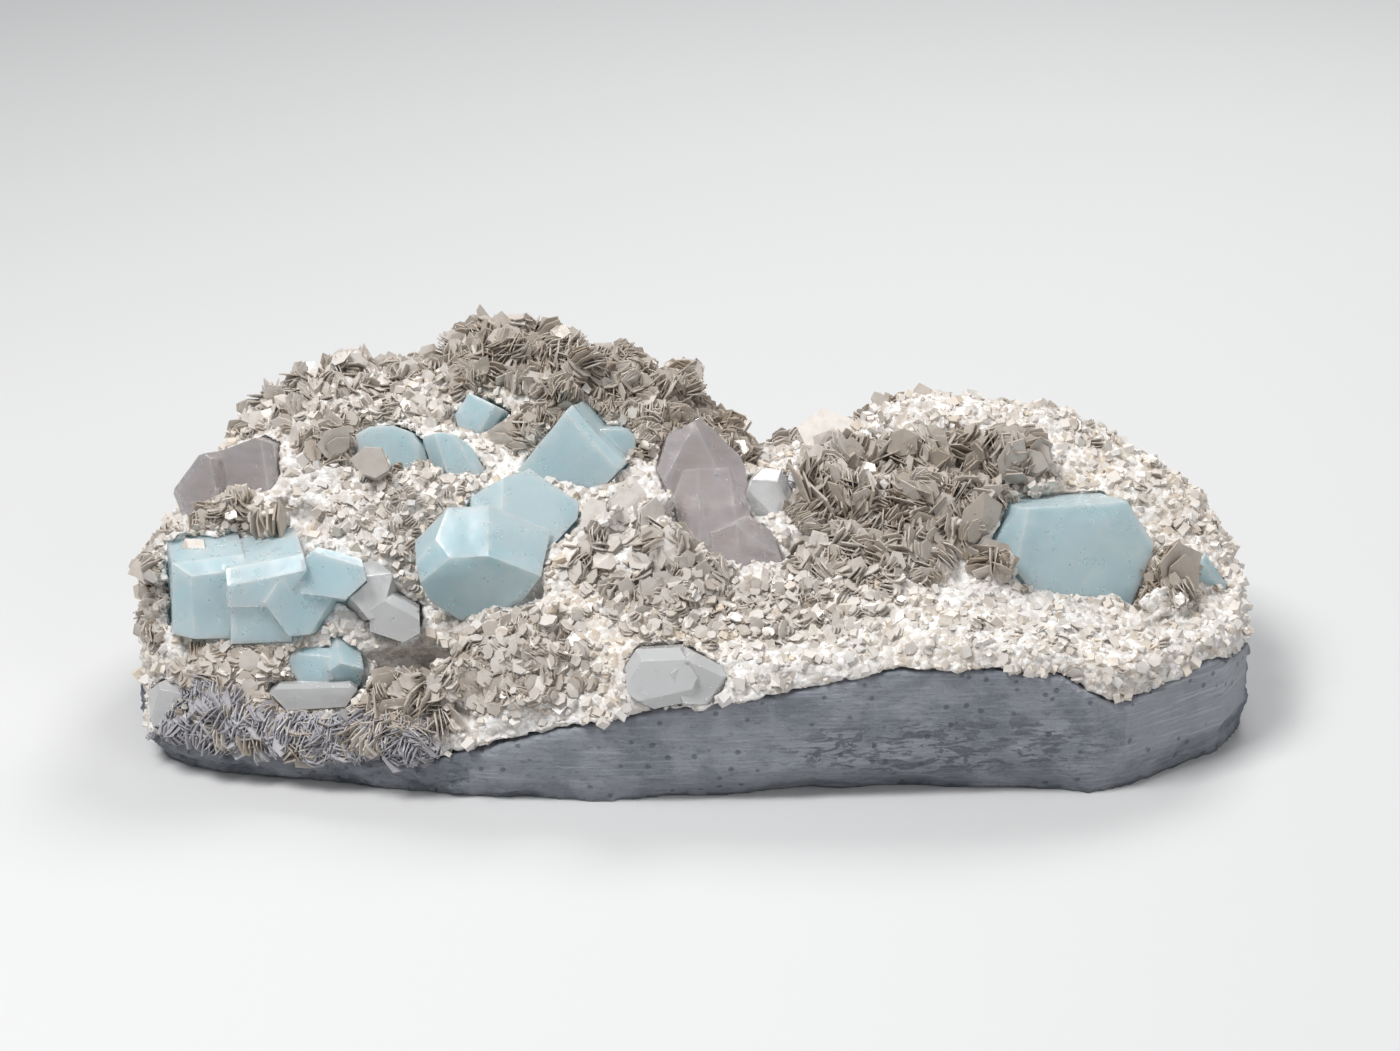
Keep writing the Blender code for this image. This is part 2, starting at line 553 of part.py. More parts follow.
def main():
    for old in list(bpy.data.objects):
        bpy.data.objects.remove(old)
    specimen = new_collection("aquamarine_specimen")
    cutters = new_collection("cutters")
    books = new_collection("mica_books")
    for helper in (cutters, books):
        helper.hide_render = True

    for name, specs, kind, neighbours in PIECES:
        piece = new_object(name, crystal_block(specs[0]), specimen)
        for spec in specs[1:]:
            boolean(piece, "UNION", new_object(f"{name} part", crystal_block(spec), cutters, cutter=True))
        make_room(piece, [spec for others in neighbours for spec in others], cutters)
        keep_main_body(piece)
        give_material(piece, kind)

    every_block = [spec for _, specs, _, _ in PIECES for spec in specs]
    crust = new_object("feldspar_crust", crust_body(), specimen)
    boolean(crust, "INTERSECT", new_object("above joint", joint_slab(True), cutters, cutter=True))
    scatter_books(books)
    for book in books.objects:
        boolean(crust, "UNION", book)
    make_room(crust, every_block, cutters)
    keep_main_body(crust)
    give_material(crust, "pale_feldspar")

    rock = new_object("wall_rock", rock_body(), specimen)
    boolean(rock, "INTERSECT", new_object("below joint", joint_slab(False), cutters, cutter=True))
    make_room(rock, every_block, cutters)
    keep_main_body(rock)
    give_material(rock, "grey_rock")


main()
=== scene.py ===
"""Aquamarine specimen: blue crystals, smoky quartz and mica books on a pale feldspar crust over grey rock."""

import math

import bmesh
import bpy
import numpy as np
from bpy.props import FloatProperty, FloatVectorProperty, IntProperty, PointerProperty
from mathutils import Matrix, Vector
from mathutils.bvhtree import BVHTree


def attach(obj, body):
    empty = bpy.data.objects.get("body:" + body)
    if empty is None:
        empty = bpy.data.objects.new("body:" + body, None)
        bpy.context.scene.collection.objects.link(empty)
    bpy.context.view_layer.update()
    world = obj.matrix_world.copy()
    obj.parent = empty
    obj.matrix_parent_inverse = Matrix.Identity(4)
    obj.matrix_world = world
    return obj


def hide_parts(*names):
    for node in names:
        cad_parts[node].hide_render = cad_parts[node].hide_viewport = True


bl_info = {
    "name": "Aquamarine specimen",
    "version": (1, 0, 0),
    "blender": (4, 5, 0),
    "location": "View3D > Sidebar > Specimen",
    "description": "Builds the detailed surfaces of an aquamarine specimen around its solid model",
    "category": "Add Mesh",
}

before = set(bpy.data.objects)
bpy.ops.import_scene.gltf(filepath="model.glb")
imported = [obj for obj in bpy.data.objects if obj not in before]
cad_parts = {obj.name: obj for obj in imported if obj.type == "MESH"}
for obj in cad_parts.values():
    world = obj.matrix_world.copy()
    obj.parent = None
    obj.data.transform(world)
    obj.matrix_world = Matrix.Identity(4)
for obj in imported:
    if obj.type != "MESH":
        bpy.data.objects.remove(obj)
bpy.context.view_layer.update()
MM = 0.001

CRYSTAL_NODES = [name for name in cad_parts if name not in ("wall_rock", "feldspar_crust")]

# Patches of the crust with a growth of their own. Millimetres and degrees.
# region, centre, reach, books, leaves in a book, leaf radius, fan, tint, lean of the books from upright
MICA_PATCHES = [
    ("ridge", (-50, 36, 84), (20, 16, 12), 230, (3, 7), (2.4, 4.2), 60, 0.35, 35),
    ("ridge", (-18, 30, 78), (28, 18, 12), 300, (3, 7), (2.4, 4.2), 60, 0.4, 35),
    ("ridge", (4, 30, 66), (16, 20, 14), 150, (3, 7), (2.2, 3.8), 60, 0.45, 35),
    ("ridge", (-28, 10, 70), (20, 14, 10), 140, (3, 7), (2.0, 3.6), 60, 0.4, 40),
    ("left", (-98, 26, 78), (42, 24, 14), 330, (1, 4), (1.6, 3.2), 50, 0.12, 50),
    ("left", (-86, 4, 70), (16, 10, 8), 60, (3, 7), (2.4, 4.0), 70, 0.3, 45),
    ("left", (-122, -16, 54), (10, 8, 10), 60, (3, 7), (2.0, 3.6), 50, 0.35, 45),
    ("left", (-139, -24, 42), (9, 22, 16), 110, (2, 5), (1.8, 3.4), 50, 0.25, 50),
    ("right", (34, -6, 62), (12, 18, 12), 110, (4, 8), (2.8, 4.8), 75, 0.3, 40),
    ("right", (52, -6, 60), (16, 20, 12), 150, (4, 8), (2.6, 4.6), 75, 0.35, 40),
    ("right", (76, -2, 66), (20, 16, 14), 190, (4, 8), (2.6, 4.6), 75, 0.35, 40),
    ("right", (74, -22, 54), (12, 14, 10), 80, (3, 7), (2.6, 4.4), 70, 0.3, 45),
    ("right", (46, -30, 52), (20, 12, 10), 130, (3, 6), (2.0, 3.8), 70, 0.25, 55),
    ("right", (126, -24, 42), (10, 10, 8), 50, (4, 8), (2.0, 3.4), 50, 0.5, 40),
    ("front", (-10, -38, 52), (26, 12, 10), 120, (2, 5), (1.8, 3.6), 60, 0.15, 55),
    ("front", (-46, -58, 34), (22, 14, 12), 380, (3, 6), (1.5, 2.8), 30, 0.25, 75),
    ("front", (-70, -52, 26), (16, 14, 12), 210, (3, 6), (1.6, 3.0), 30, 0.35, 75),
    ("front", (14, -48, 44), (40, 14, 8), 300, (2, 5), (1.2, 2.4), 36, 0.1, 70),
    ("front", (90, -56, 38), (50, 14, 10), 60, (1, 3), (1.2, 2.2), 40, 0.02, 75),
    ("lower_left", (-112, -50, 24), (24, 10, 12), 280, (3, 6), (1.7, 3.2), 30, 0.3, 75),
    ("lower_left", (-72, -58, 20), (14, 8, 8), 50, (4, 8), (3.2, 5.0), 50, 0.25, 25),
    ("lower_left", (-100, -60, 16), (42, 8, 6), 130, (3, 7), (2.2, 4.2), 40, 0.2, 30),
    ("slope", (108, 10, 56), (46, 50, 30), 130, (1, 4), (1.0, 2.4), 40, 0.15, 60),
    ("slope", (-74, -20, 58), (24, 22, 20), 120, (2, 5), (0.9, 1.8), 40, 0.1, 50),
    ("back", (-60, 60, 50), (70, 22, 34), 380, (2, 6), (1.8, 3.6), 50, 0.25, 55),
    ("back", (60, 60, 44), (70, 22, 30), 300, (2, 6), (1.8, 3.6), 50, 0.25, 55),
]

# Books that stand out one by one: x, y, z, radius, lean from flat, facing, spin, leaves, fan, tint
HERO_BOOKS = [
    (39, 33, 60, 9.0, 30, -100, 10, 4, 6, 0.0),
    (-17, -25, 64, 6.6, 62, -80, 5, 3, 20, 0.0),
    (-10, -27, 62, 5.6, 70, -50, 20, 3, 20, 0.0),
    (-24, -26, 61, 5.8, 55, -120, 40, 3, 20, 0.05),
    (-92, 33, 83, 4.0, 72, -88, 0, 2, 4, 0.0),
    (-83, -12, 70, 4.6, 60, -100, 15, 7, 70, 0.2),
    (-95, 0, 72, 4.6, 78, -60, 30, 6, 50, 0.3),
    (33, -10, 63, 7.6, 84, 20, 0, 6, 46, 0.35),
    (38, -12, 61, 7.4, 80, 35, 20, 6, 46, 0.4),
    (43, -12, 60, 6.6, 78, 10, 40, 6, 46, 0.45),
    (76, -18, 58, 7.4, 68, -74, 15, 5, 20, 0.3),
    (85, 2, 67, 6.0, 80, -62, 25, 5, 30, 0.25),
    (92, 4, 66, 5.6, 78, -100, 45, 5, 30, 0.3),
    (127, -22, 43, 7.5, 75, -60, 10, 9, 40, 0.75),
    (-5, -37, 56, 6.2, 62, -80, 15, 2, 6, 0.0),
    (-12, -38, 55, 4.5, 50, -110, 35, 2, 8, 0.0),
    (-56, -63, 29, 6.0, 78, -80, 10, 2, 8, 0.3),
    (-62, -60, 27, 5.4, 74, -110, 30, 2, 8, 0.3),
    (-76, -59, 23, 7.2, 82, -20, 15, 7, 40, 0.3),
    (-71, -59, 22, 6.4, 80, -30, 35, 7, 40, 0.35),
    (-129, -31, 50, 4.6, 35, -100, 10, 4, 20, 0.5),
    (-110, -22, 58, 5.6, 80, -10, 20, 6, 30, 0.5),
]

# Silver-grey pleated books along the lower left edge: same columns as the patches above
SILVER_PATCHES = [
    ("silver", (-128, -52, 14), (14, 8, 10), 60, (4, 9), (2.4, 4.4), 24, 0.3, 20),
    ("silver", (-104, -60, 13), (20, 6, 6), 110, (4, 9), (2.2, 4.0), 24, 0.2, 15),
    ("silver", (-78, -62, 13), (20, 6, 6), 90, (4, 9), (2.0, 3.8), 24, 0.4, 15),
    ("silver", (38, 4, 62), (8, 8, 6), 30, (2, 5), (2.4, 4.2), 40, 0.0, 40),
    ("silver", (29, -2, 62), (5, 8, 6), 24, (2, 5), (2.2, 3.8), 40, 0.0, 40),
]

# Hollows of the crust: centre, reach and depth (mm)
HOLLOWS = [
    ((-72, -46, 26), (15, 9, 5), 7.0),
    ((-106, -16, 57), (9, 6, 5), 5.0),
    ((-52, -50, 38), (16, 6, 5), 4.0),
    ((-44, -40, 45), (8, 5, 5), 4.0),
    ((64, -34, 47), (14, 6, 5), 3.0),
    ((28, -26, 54), (6, 6, 6), 3.0),
    ((12, -44, 44), (16, 5, 4), 2.0),
    ((117, -28, 42), (5, 6, 6), 3.0),
]

# Stains of the crust: centre, reach (mm), how much of cream, grey and brown
CRUST_STAINS = [
    ((-20, 24, 74), (60, 24, 20), (0.2, 0.0, 0.55)),
    ((-76, -20, 58), (16, 16, 12), (0.0, 0.55, 0.1)),
    ((-62, -28, 54), (12, 14, 12), (0.7, 0.0, 0.15)),
    ((-58, -50, 34), (18, 14, 14), (0.3, 0.1, 0.35)),
    ((-10, -52, 42), (42, 14, 12), (0.6, 0.0, 0.1)),
    ((60, -6, 58), (34, 26, 14), (0.1, 0.1, 0.5)),
    ((120, 0, 48), (34, 40, 26), (0.45, 0.0, 0.0)),
    ((80, -60, 40), (50, 14, 12), (0.25, 0.15, 0.0)),
    ((72, -56, 42), (10, 10, 8), (0.0, 0.7, 0.0)),
    ((8, -58, 40), (12, 10, 8), (0.1, 0.6, 0.0)),
    ((-110, -56, 16), (46, 12, 12), (0.0, 0.4, 0.2)),
]

AQUAMARINE_NODES = [name for name in CRYSTAL_NODES if name.startswith("aquamarine")]
SMOKY_NODES = [name for name in CRYSTAL_NODES if name.startswith("smoky")]
PALE_NODES = [name for name in CRYSTAL_NODES if name.startswith("quartz")]


class SpecimenSizes(bpy.types.PropertyGroup):
    crust_cell: FloatProperty(
        name="Crust cell", description="Size of a cell of the crust's surface", default=0.95 * MM, unit="LENGTH"
    )
    rock_cell: FloatProperty(
        name="Rock cell", description="Size of a cell of the grey rock's surface", default=1.2 * MM, unit="LENGTH"
    )
    lump: FloatProperty(
        name="Lump size", description="Size of the crust's large lumps", default=7 * MM, unit="LENGTH"
    )
    lump_height: FloatProperty(
        name="Lump height", description="How far the large lumps stand out", default=1.1 * MM, unit="LENGTH"
    )
    crumb: FloatProperty(
        name="Crumb size", description="Size of the crust's broken crumbs", default=3 * MM, unit="LENGTH"
    )
    crumb_height: FloatProperty(
        name="Crumb height", description="How far the crumbs stand out", default=1.0 * MM, unit="LENGTH"
    )
    leaf_thickness: FloatProperty(
        name="Leaf thickness", description="Thickness of a mica leaf", default=0.32 * MM, unit="LENGTH"
    )
    grains: IntProperty(name="Grains", description="Number of loose feldspar grains", default=9000, min=0)
    grain_size: FloatProperty(
        name="Grain size", description="Half the width of a large grain", default=0.9 * MM, unit="LENGTH"
    )
    crystal_bevel: FloatProperty(
        name="Crystal bevel", description="Width of the worn crystal edges", default=0.3 * MM, unit="LENGTH"
    )
    crystal_cell: FloatProperty(
        name="Crystal cell", description="Longest edge on a crystal's faces", default=1.6 * MM, unit="LENGTH"
    )
    seed: IntProperty(name="Seed", description="Start of every scatter", default=5, min=0)


class SpecimenColours(bpy.types.PropertyGroup):
    crust: FloatVectorProperty(
        name="Crust", description="White feldspar", default=(0.74, 0.71, 0.68), subtype="COLOR"
    )
    cream: FloatVectorProperty(
        name="Cream", description="Cream stain on the crust", default=(0.68, 0.57, 0.44), subtype="COLOR"
    )
    brown: FloatVectorProperty(
        name="Brown", description="Brown stain on the crust", default=(0.34, 0.27, 0.2), subtype="COLOR"
    )
    grey: FloatVectorProperty(
        name="Grey", description="Grey specks in the crust", default=(0.2, 0.21, 0.22), subtype="COLOR"
    )
    rock: FloatVectorProperty(
        name="Rock", description="Blue-grey rock", default=(0.235, 0.25, 0.28), subtype="COLOR"
    )
    rock_blue: FloatVectorProperty(
        name="Blue rock", description="Deeper blue-grey patches", default=(0.13, 0.145, 0.175), subtype="COLOR"
    )
    rock_pale: FloatVectorProperty(
        name="Pale rock", description="Pale streaks and sawn faces", default=(0.34, 0.355, 0.39), subtype="COLOR"
    )
    rock_dark: FloatVectorProperty(
        name="Dark rock", description="Dark patches of the rock", default=(0.055, 0.06, 0.075), subtype="COLOR"
    )
    mica_pale: FloatVectorProperty(
        name="Pale mica", description="Palest mica leaves", default=(0.66, 0.62, 0.58), subtype="COLOR"
    )
    mica_tan: FloatVectorProperty(
        name="Tan mica", description="Darkest mica leaves", default=(0.36, 0.29, 0.22), subtype="COLOR"
    )
    mica_edge: FloatVectorProperty(
        name="Mica edge", description="Edges of the mica leaves", default=(0.3, 0.235, 0.17), subtype="COLOR"
    )
    silver: FloatVectorProperty(
        name="Silver mica", description="Silver-grey mica", default=(0.56, 0.55, 0.57), subtype="COLOR"
    )
    silver_dark: FloatVectorProperty(
        name="Dark silver mica", description="Shaded silver mica", default=(0.26, 0.25, 0.27), subtype="COLOR"
    )
    aquamarine: FloatVectorProperty(
        name="Aquamarine", description="Pale blue of the crystals", default=(0.74, 0.88, 0.92), subtype="COLOR"
    )
    aquamarine_deep: FloatVectorProperty(
        name="Deep aquamarine", description="Deeper blue-green", default=(0.6, 0.8, 0.86), subtype="COLOR"
    )
    smoky: FloatVectorProperty(
        name="Smoky quartz", description="Smoky quartz", default=(0.8, 0.72, 0.7), subtype="COLOR"
    )
    lilac: FloatVectorProperty(
        name="Lilac quartz", description="Pale lilac quartz", default=(0.88, 0.83, 0.87), subtype="COLOR"
    )
    quartz: FloatVectorProperty(
        name="Pale quartz", description="Whitish quartz", default=(0.95, 0.96, 0.96), subtype="COLOR"
    )
    floor: FloatVectorProperty(name="Floor", description="Studio floor", default=(0.6, 0.6, 0.6), subtype="COLOR")


# Noise on arrays of points


def lattice_value(cells, seed):
    """Repeatable number from 0 to 1 for every whole-number cell."""
    x, y, z = (cells[..., axis].astype(np.uint32) for axis in range(3))
    mixed = x * np.uint32(374761393) + y * np.uint32(668265263) + z * np.uint32(2246822519)
    mixed = mixed + np.uint32(seed * 7919 + 17)
    mixed = (mixed ^ (mixed >> np.uint32(13))) * np.uint32(1274126177)
    mixed = (mixed ^ (mixed >> np.uint32(15))) * np.uint32(2654435761)
    return (mixed ^ (mixed >> np.uint32(16))) / 4294967295.0


def soft_noise(points, size, seed):
    """Value noise from -1 to 1: cell values blended by 3f2 - 2f3 between the eight corners."""
    scaled = points / size
    base = np.floor(scaled).astype(np.int64)
    part = scaled - base
    part = part * part * (3 - 2 * part)
    total = np.zeros(len(points))
    for corner in np.ndindex(2, 2, 2):
        step = np.array(corner)
        weight = np.prod(np.where(step, part, 1 - part), axis=1)
        total += weight * lattice_value(base + step, seed)
    return 2 * total - 1


def cell_noise(points, size, seed):
    """Nearest of the jittered cell centres: distance, next distance, offset from it and its cell."""
    scaled = points / size
    base = np.floor(scaled).astype(np.int64)
    near = np.full(len(points), 9.0)
    second = np.full(len(points), 9.0)
    offset = np.zeros_like(points)
    owner = np.zeros_like(base)
    for corner in np.ndindex(3, 3, 3):
        cell = base + np.array(corner) - 1
        jitter = np.stack([lattice_value(cell, seed + axis) for axis in range(3)], axis=1)
        apart = scaled - cell - jitter
        distance = np.linalg.norm(apart, axis=1)
        closer = distance < near
        second = np.where(closer, near, np.minimum(second, distance))
        near = np.where(closer, distance, near)
        offset[closer] = apart[closer]
        owner[closer] = cell[closer]
    return near, second, offset, owner


def broken_facets(points, size, seed):
    """Height from -1 to 1 of a surface broken into tilted facets, a random plane on every cell."""
    near, second, offset, owner = cell_noise(points, size, seed)
    tilt = np.stack([lattice_value(owner, seed + 3 + axis) for axis in range(3)], axis=1) * 2 - 1
    level = lattice_value(owner, seed + 6) * 2 - 1
    groove = np.clip((second - near) / 0.12, 0, 1)
    return 0.5 * level + 0.6 * np.einsum("ij,ij->i", tilt, offset) - 0.5 * (1 - groove)


def unit(vectors):
    return vectors / np.maximum(np.linalg.norm(vectors, axis=-1, keepdims=True), 1e-9)


# Meshes


def mesh_arrays(mesh):
    """Positions and normals of a mesh's points."""
    places = np.empty(len(mesh.vertices) * 3)
    mesh.vertices.foreach_get("co", places)
    normals = np.empty(len(mesh.vertices) * 3)
    mesh.vertex_normals.foreach_get("vector", normals)
    return places.reshape(-1, 3), normals.reshape(-1, 3)


def set_places(mesh, places):
    mesh.vertices.foreach_set("co", places.ravel())
    mesh.update()


def set_attribute(mesh, name, values):
    made = mesh.attributes.new(name, "FLOAT", "POINT")
    made.data.foreach_set("value", np.asarray(values, dtype=np.float32))


def mesh_from_arrays(name, places, polygons, kinds):
    """Mesh from points and polygons of three or four corners; kinds is each polygon's material number."""
    corners = np.concatenate([np.asarray(p).ravel() for p in polygons])
    sizes = np.concatenate([np.full(len(p), p.shape[1]) for p in polygons])
    mesh = bpy.data.meshes.new(name)
    mesh.vertices.add(len(places))
    mesh.vertices.foreach_set("co", places.ravel())
    mesh.loops.add(len(corners))
    mesh.loops.foreach_set("vertex_index", corners.astype(np.int32))
    mesh.polygons.add(len(sizes))
    starts = np.concatenate([[0], np.cumsum(sizes)[:-1]])
    mesh.polygons.foreach_set("loop_start", starts.astype(np.int32))
    mesh.polygons.foreach_set("material_index", np.asarray(kinds, dtype=np.int32))
    mesh.update(calc_edges=True)
    mesh.validate()
    return mesh


def add_piece(name, mesh, materials, replaced=()):
    """Object of its own at the origin, riding on the one body."""
    piece = bpy.data.objects.new(name, mesh)
    bpy.context.scene.collection.objects.link(piece)
    for material in materials:
        mesh.materials.append(material)
    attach(piece, "root")
    if replaced:
        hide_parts(*replaced)
    return piece


def joined_copy(node):
    """The node's mesh with its loose triangles joined again, as a bmesh."""
    bm = bmesh.new()
    bm.from_mesh(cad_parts[node].data)
    bmesh.ops.remove_doubles(bm, verts=bm.verts, dist=1e-6)
    return bm


def remeshed(node, cell):
    """Even closed mesh of a node's shape with cells of the given size."""
    bm = joined_copy(node)
    coarse = bpy.data.meshes.new(f"{node} coarse")
    bm.to_mesh(coarse)
    bm.free()
    helper = bpy.data.objects.new(f"{node} helper", coarse)
    bpy.context.scene.collection.objects.link(helper)
    step = helper.modifiers.new("even", "REMESH")
    step.mode = "VOXEL"
    step.voxel_size = cell
    graph = bpy.context.evaluated_depsgraph_get()
    made = bpy.data.meshes.new_from_object(helper.evaluated_get(graph))
    bpy.data.objects.remove(helper)
    return made


def crystal_tree():
    """Search tree of all the crystal faces."""
    places, faces = [], []
    for node in CRYSTAL_NODES:
        bm = joined_copy(node)
        start = len(places)
        places += [vert.co.copy() for vert in bm.verts]
        faces += [[start + vert.index for vert in face.verts] for face in bm.faces]
        bm.free()
    return BVHTree.FromPolygons(places, faces)


def crystal_clearance(points, normals, tree):
    """Signed distance of every point from the nearest crystal, the way from it, and whether it lies open."""
    distances = np.empty(len(points))
    away = np.empty((len(points), 3))
    open_air = np.empty(len(points), bool)
    for i, (point, out) in enumerate(zip(points, normals)):
        start, out = Vector(point), Vector(out)
        spot, normal, _, distance = tree.find_nearest(start)
        side = 1.0 if (start - spot).dot(normal) > 0 else -1.0
        distances[i] = side * distance
        away[i] = normal
        open_air[i] = tree.ray_cast(start, out, 8 * MM)[0] is None
    return distances, away, open_air


def patch_share(points, centre, reach):
    """Share from 0 to 1 of a soft-edged patch at every point."""
    apart = np.linalg.norm((points - np.array(centre) * MM) / (np.array(reach) * MM), axis=1)
    return np.clip((1.15 - apart) / 0.4, 0, 1)


def leaf_mesh(name, centres, outward, normals, radii, thickness, aspect, tints, rng):
    """Joined mica leaves: each a six-sided plate with uneven corners, a slight dish and its own tint."""
    count = len(centres)
    side = np.cross(normals, outward)
    turns = np.radians(60) * np.arange(6) + rng.uniform(-0.16, 0.16, (count, 6)) + rng.uniform(0, 1, (count, 1))
    reach = radii[:, None] * rng.uniform(0.74, 1.12, (count, 6))
    along = np.cos(turns) * reach * aspect[:, None]
    across = np.sin(turns) * reach
    ring = centres[:, None] + along[..., None] * outward[:, None] + across[..., None] * side[:, None]
    dish = radii * rng.uniform(-0.08, 0.08, count)
    warp = radii[:, None] * rng.uniform(-0.06, 0.06, (count, 6))
    ring = ring + warp[..., None] * normals[:, None]
    half = 0.5 * thickness[:, None, None] * normals[:, None]
    middle = centres + dish[:, None] * normals
    places = np.concatenate([ring - half, ring + half, (middle[:, None] - half), (middle[:, None] + half)], axis=1)
    i = np.arange(6)
    j = (i + 1) % 6
    under = np.stack([np.full(6, 12), j, i], axis=1)
    over = np.stack([np.full(6, 13), i + 6, j + 6], axis=1)
    rim = np.stack([i, j, j + 6, i + 6], axis=1)
    starts = 14 * np.arange(count)[:, None, None]
    triangles = (starts + np.concatenate([under, over])[None]).reshape(-1, 3)
    quads = (starts + rim[None]).reshape(-1, 4)
    kinds = np.concatenate([np.zeros(len(triangles)), np.ones(len(quads))])
    mesh = mesh_from_arrays(name, places.reshape(-1, 3), [triangles, quads], kinds)
    set_attribute(mesh, "tint", np.repeat(tints, 14))
    mesh.shade_flat()
    return mesh


def book_leaves(roots, outward, normals, radii, counts, fans, tints, thickness, rng):
    """Leaves of many books: each book's leaves turn about its root, spread over its fan angle."""
    book = np.repeat(np.arange(len(roots)), counts)
    number = np.concatenate([np.arange(c) for c in counts])
    share = (number + 0.5) / counts[book] - 0.5
    turn = share * np.radians(fans[book]) + rng.uniform(-0.1, 0.1, len(book))
    out, normal = outward[book], normals[book]
    turned_out = out * np.cos(turn)[:, None] + normal * np.sin(turn)[:, None]
    turned_normal = normal * np.cos(turn)[:, None] - out * np.sin(turn)[:, None]
    hinge = np.cross(out, normal)
    twist = rng.uniform(-0.25, 0.25, len(book))
    turned_normal = unit(turned_normal + twist[:, None] * hinge)
    radius = radii[book] * rng.uniform(0.75, 1.1, len(book))
    spacing = share * counts[book] * thickness * 2.4
    centres = roots[book] + turned_out * (0.45 * radius)[:, None] + normal * spacing[:, None]
    return dict(
        centres=centres,
        outward=unit(turned_out - turned_normal * np.sum(turned_out * turned_normal, axis=1)[:, None]),
        normals=turned_normal,
        radii=radius,
        thickness=thickness * rng.uniform(0.6, 1.3, len(book)),
        aspect=rng.uniform(0.85, 1.2, len(book)),
        tints=np.clip(tints[book] + rng.normal(0, 0.1, len(book)), 0, 1),
    )


def grain_mesh(name, centres, sizes, tints, rng):
    """Joined feldspar grains: each a block with uneven corners turned at random."""
    count = len(centres)
    corner = np.array([[x, y, z] for x in (-1, 1) for y in (-1, 1) for z in (-1, 1)], float)
    stretch = rng.uniform(0.5, 1.1, (count, 1, 3))
    shaped = (corner[None] + rng.uniform(-0.35, 0.35, (count, 8, 3))) * stretch * sizes[:, None, None]
    axes = unit(rng.normal(size=(count, 3)))
    other = unit(np.cross(axes, unit(rng.normal(size=(count, 3)))))
    third = np.cross(axes, other)
    turned = shaped[..., 0:1] * axes[:, None] + shaped[..., 1:2] * other[:, None] + shaped[..., 2:3] * third[:, None]
    places = centres[:, None] + turned
    faces = np.array([[0, 1, 3, 2], [4, 6, 7, 5], [0, 4, 5, 1], [2, 3, 7, 6], [0, 2, 6, 4], [1, 5, 7, 3]])
    quads = (8 * np.arange(count)[:, None, None] + faces[None]).reshape(-1, 4)
    mesh = mesh_from_arrays(name, places.reshape(-1, 3), [quads], np.zeros(len(quads)))
    set_attribute(mesh, "tint", np.repeat(tints, 8))
    mesh.shade_flat()
    return mesh


# Materials


def colour4(colour):
    return (*colour, 1.0)


class Graph:
    """Short way to build a node tree: nodes by type with their sockets set or linked."""

    def __init__(self, tree):
        self.tree = tree

    def add(self, kind, settings=None, **sockets):
        node = self.tree.nodes.new(kind)
        for key, value in (settings or {}).items():
            setattr(node, key, value)
        for key, value in sockets.items():
            self.feed(node.inputs[key.replace("_", " ")], value)
        return node

    def feed(self, socket, value):
        if isinstance(value, bpy.types.NodeSocket):
            self.tree.links.new(value, socket)
        else:
            socket.default_value = value

    def noise(self, place, scale, detail=4.0, rough=0.55, distortion=0.0):
        node = self.add(
            "ShaderNodeTexNoise", Vector=place, Scale=scale, Detail=detail, Roughness=rough, Distortion=distortion
        )
        return node.outputs["Fac"]

    def voronoi(self, place, scale, feature="F1"):
        return self.add("ShaderNodeTexVoronoi", {"feature": feature}, Vector=place, Scale=scale)

    def steps(self, value, low, high):
        """0 below low, 1 above high."""
        node = self.add("ShaderNodeMapRange", {"interpolation_type": "SMOOTHSTEP"}, Value=value)
        node.inputs["From Min"].default_value = low
        node.inputs["From Max"].default_value = high
        return node.outputs["Result"]

    def maths(self, operation, one, two=0.0):
        node = self.add("ShaderNodeMath", {"operation": operation})
        self.feed(node.inputs[0], one)
        self.feed(node.inputs[1], two)
        return node.outputs[0]

    def mix(self, factor, one, two, blend="MIX"):
        node = self.add("ShaderNodeMix", {"data_type": "RGBA", "blend_type": blend})
        self.feed(node.inputs["Factor"], factor)
        self.feed(node.inputs[6], one)
        self.feed(node.inputs[7], two)
        return node.outputs[2]

    def attribute(self, name):
        return self.add("ShaderNodeAttribute", {"attribute_name": name}).outputs["Fac"]

    def bump(self, height, strength, distance, normal=None):
        node = self.add("ShaderNodeBump", Height=height, Strength=strength, Distance=distance)
        if normal is not None:
            self.feed(node.inputs["Normal"], normal)
        return node.outputs["Normal"]


def new_material(name):
    """Principled material with its graph and the object's own coordinates."""
    material = bpy.data.materials.new(name)
    material.use_nodes = True
    graph = Graph(material.node_tree)
    shader = material.node_tree.nodes["Principled BSDF"]
    place = graph.add("ShaderNodeTexCoord").outputs["Object"]
    return material, graph, shader, place


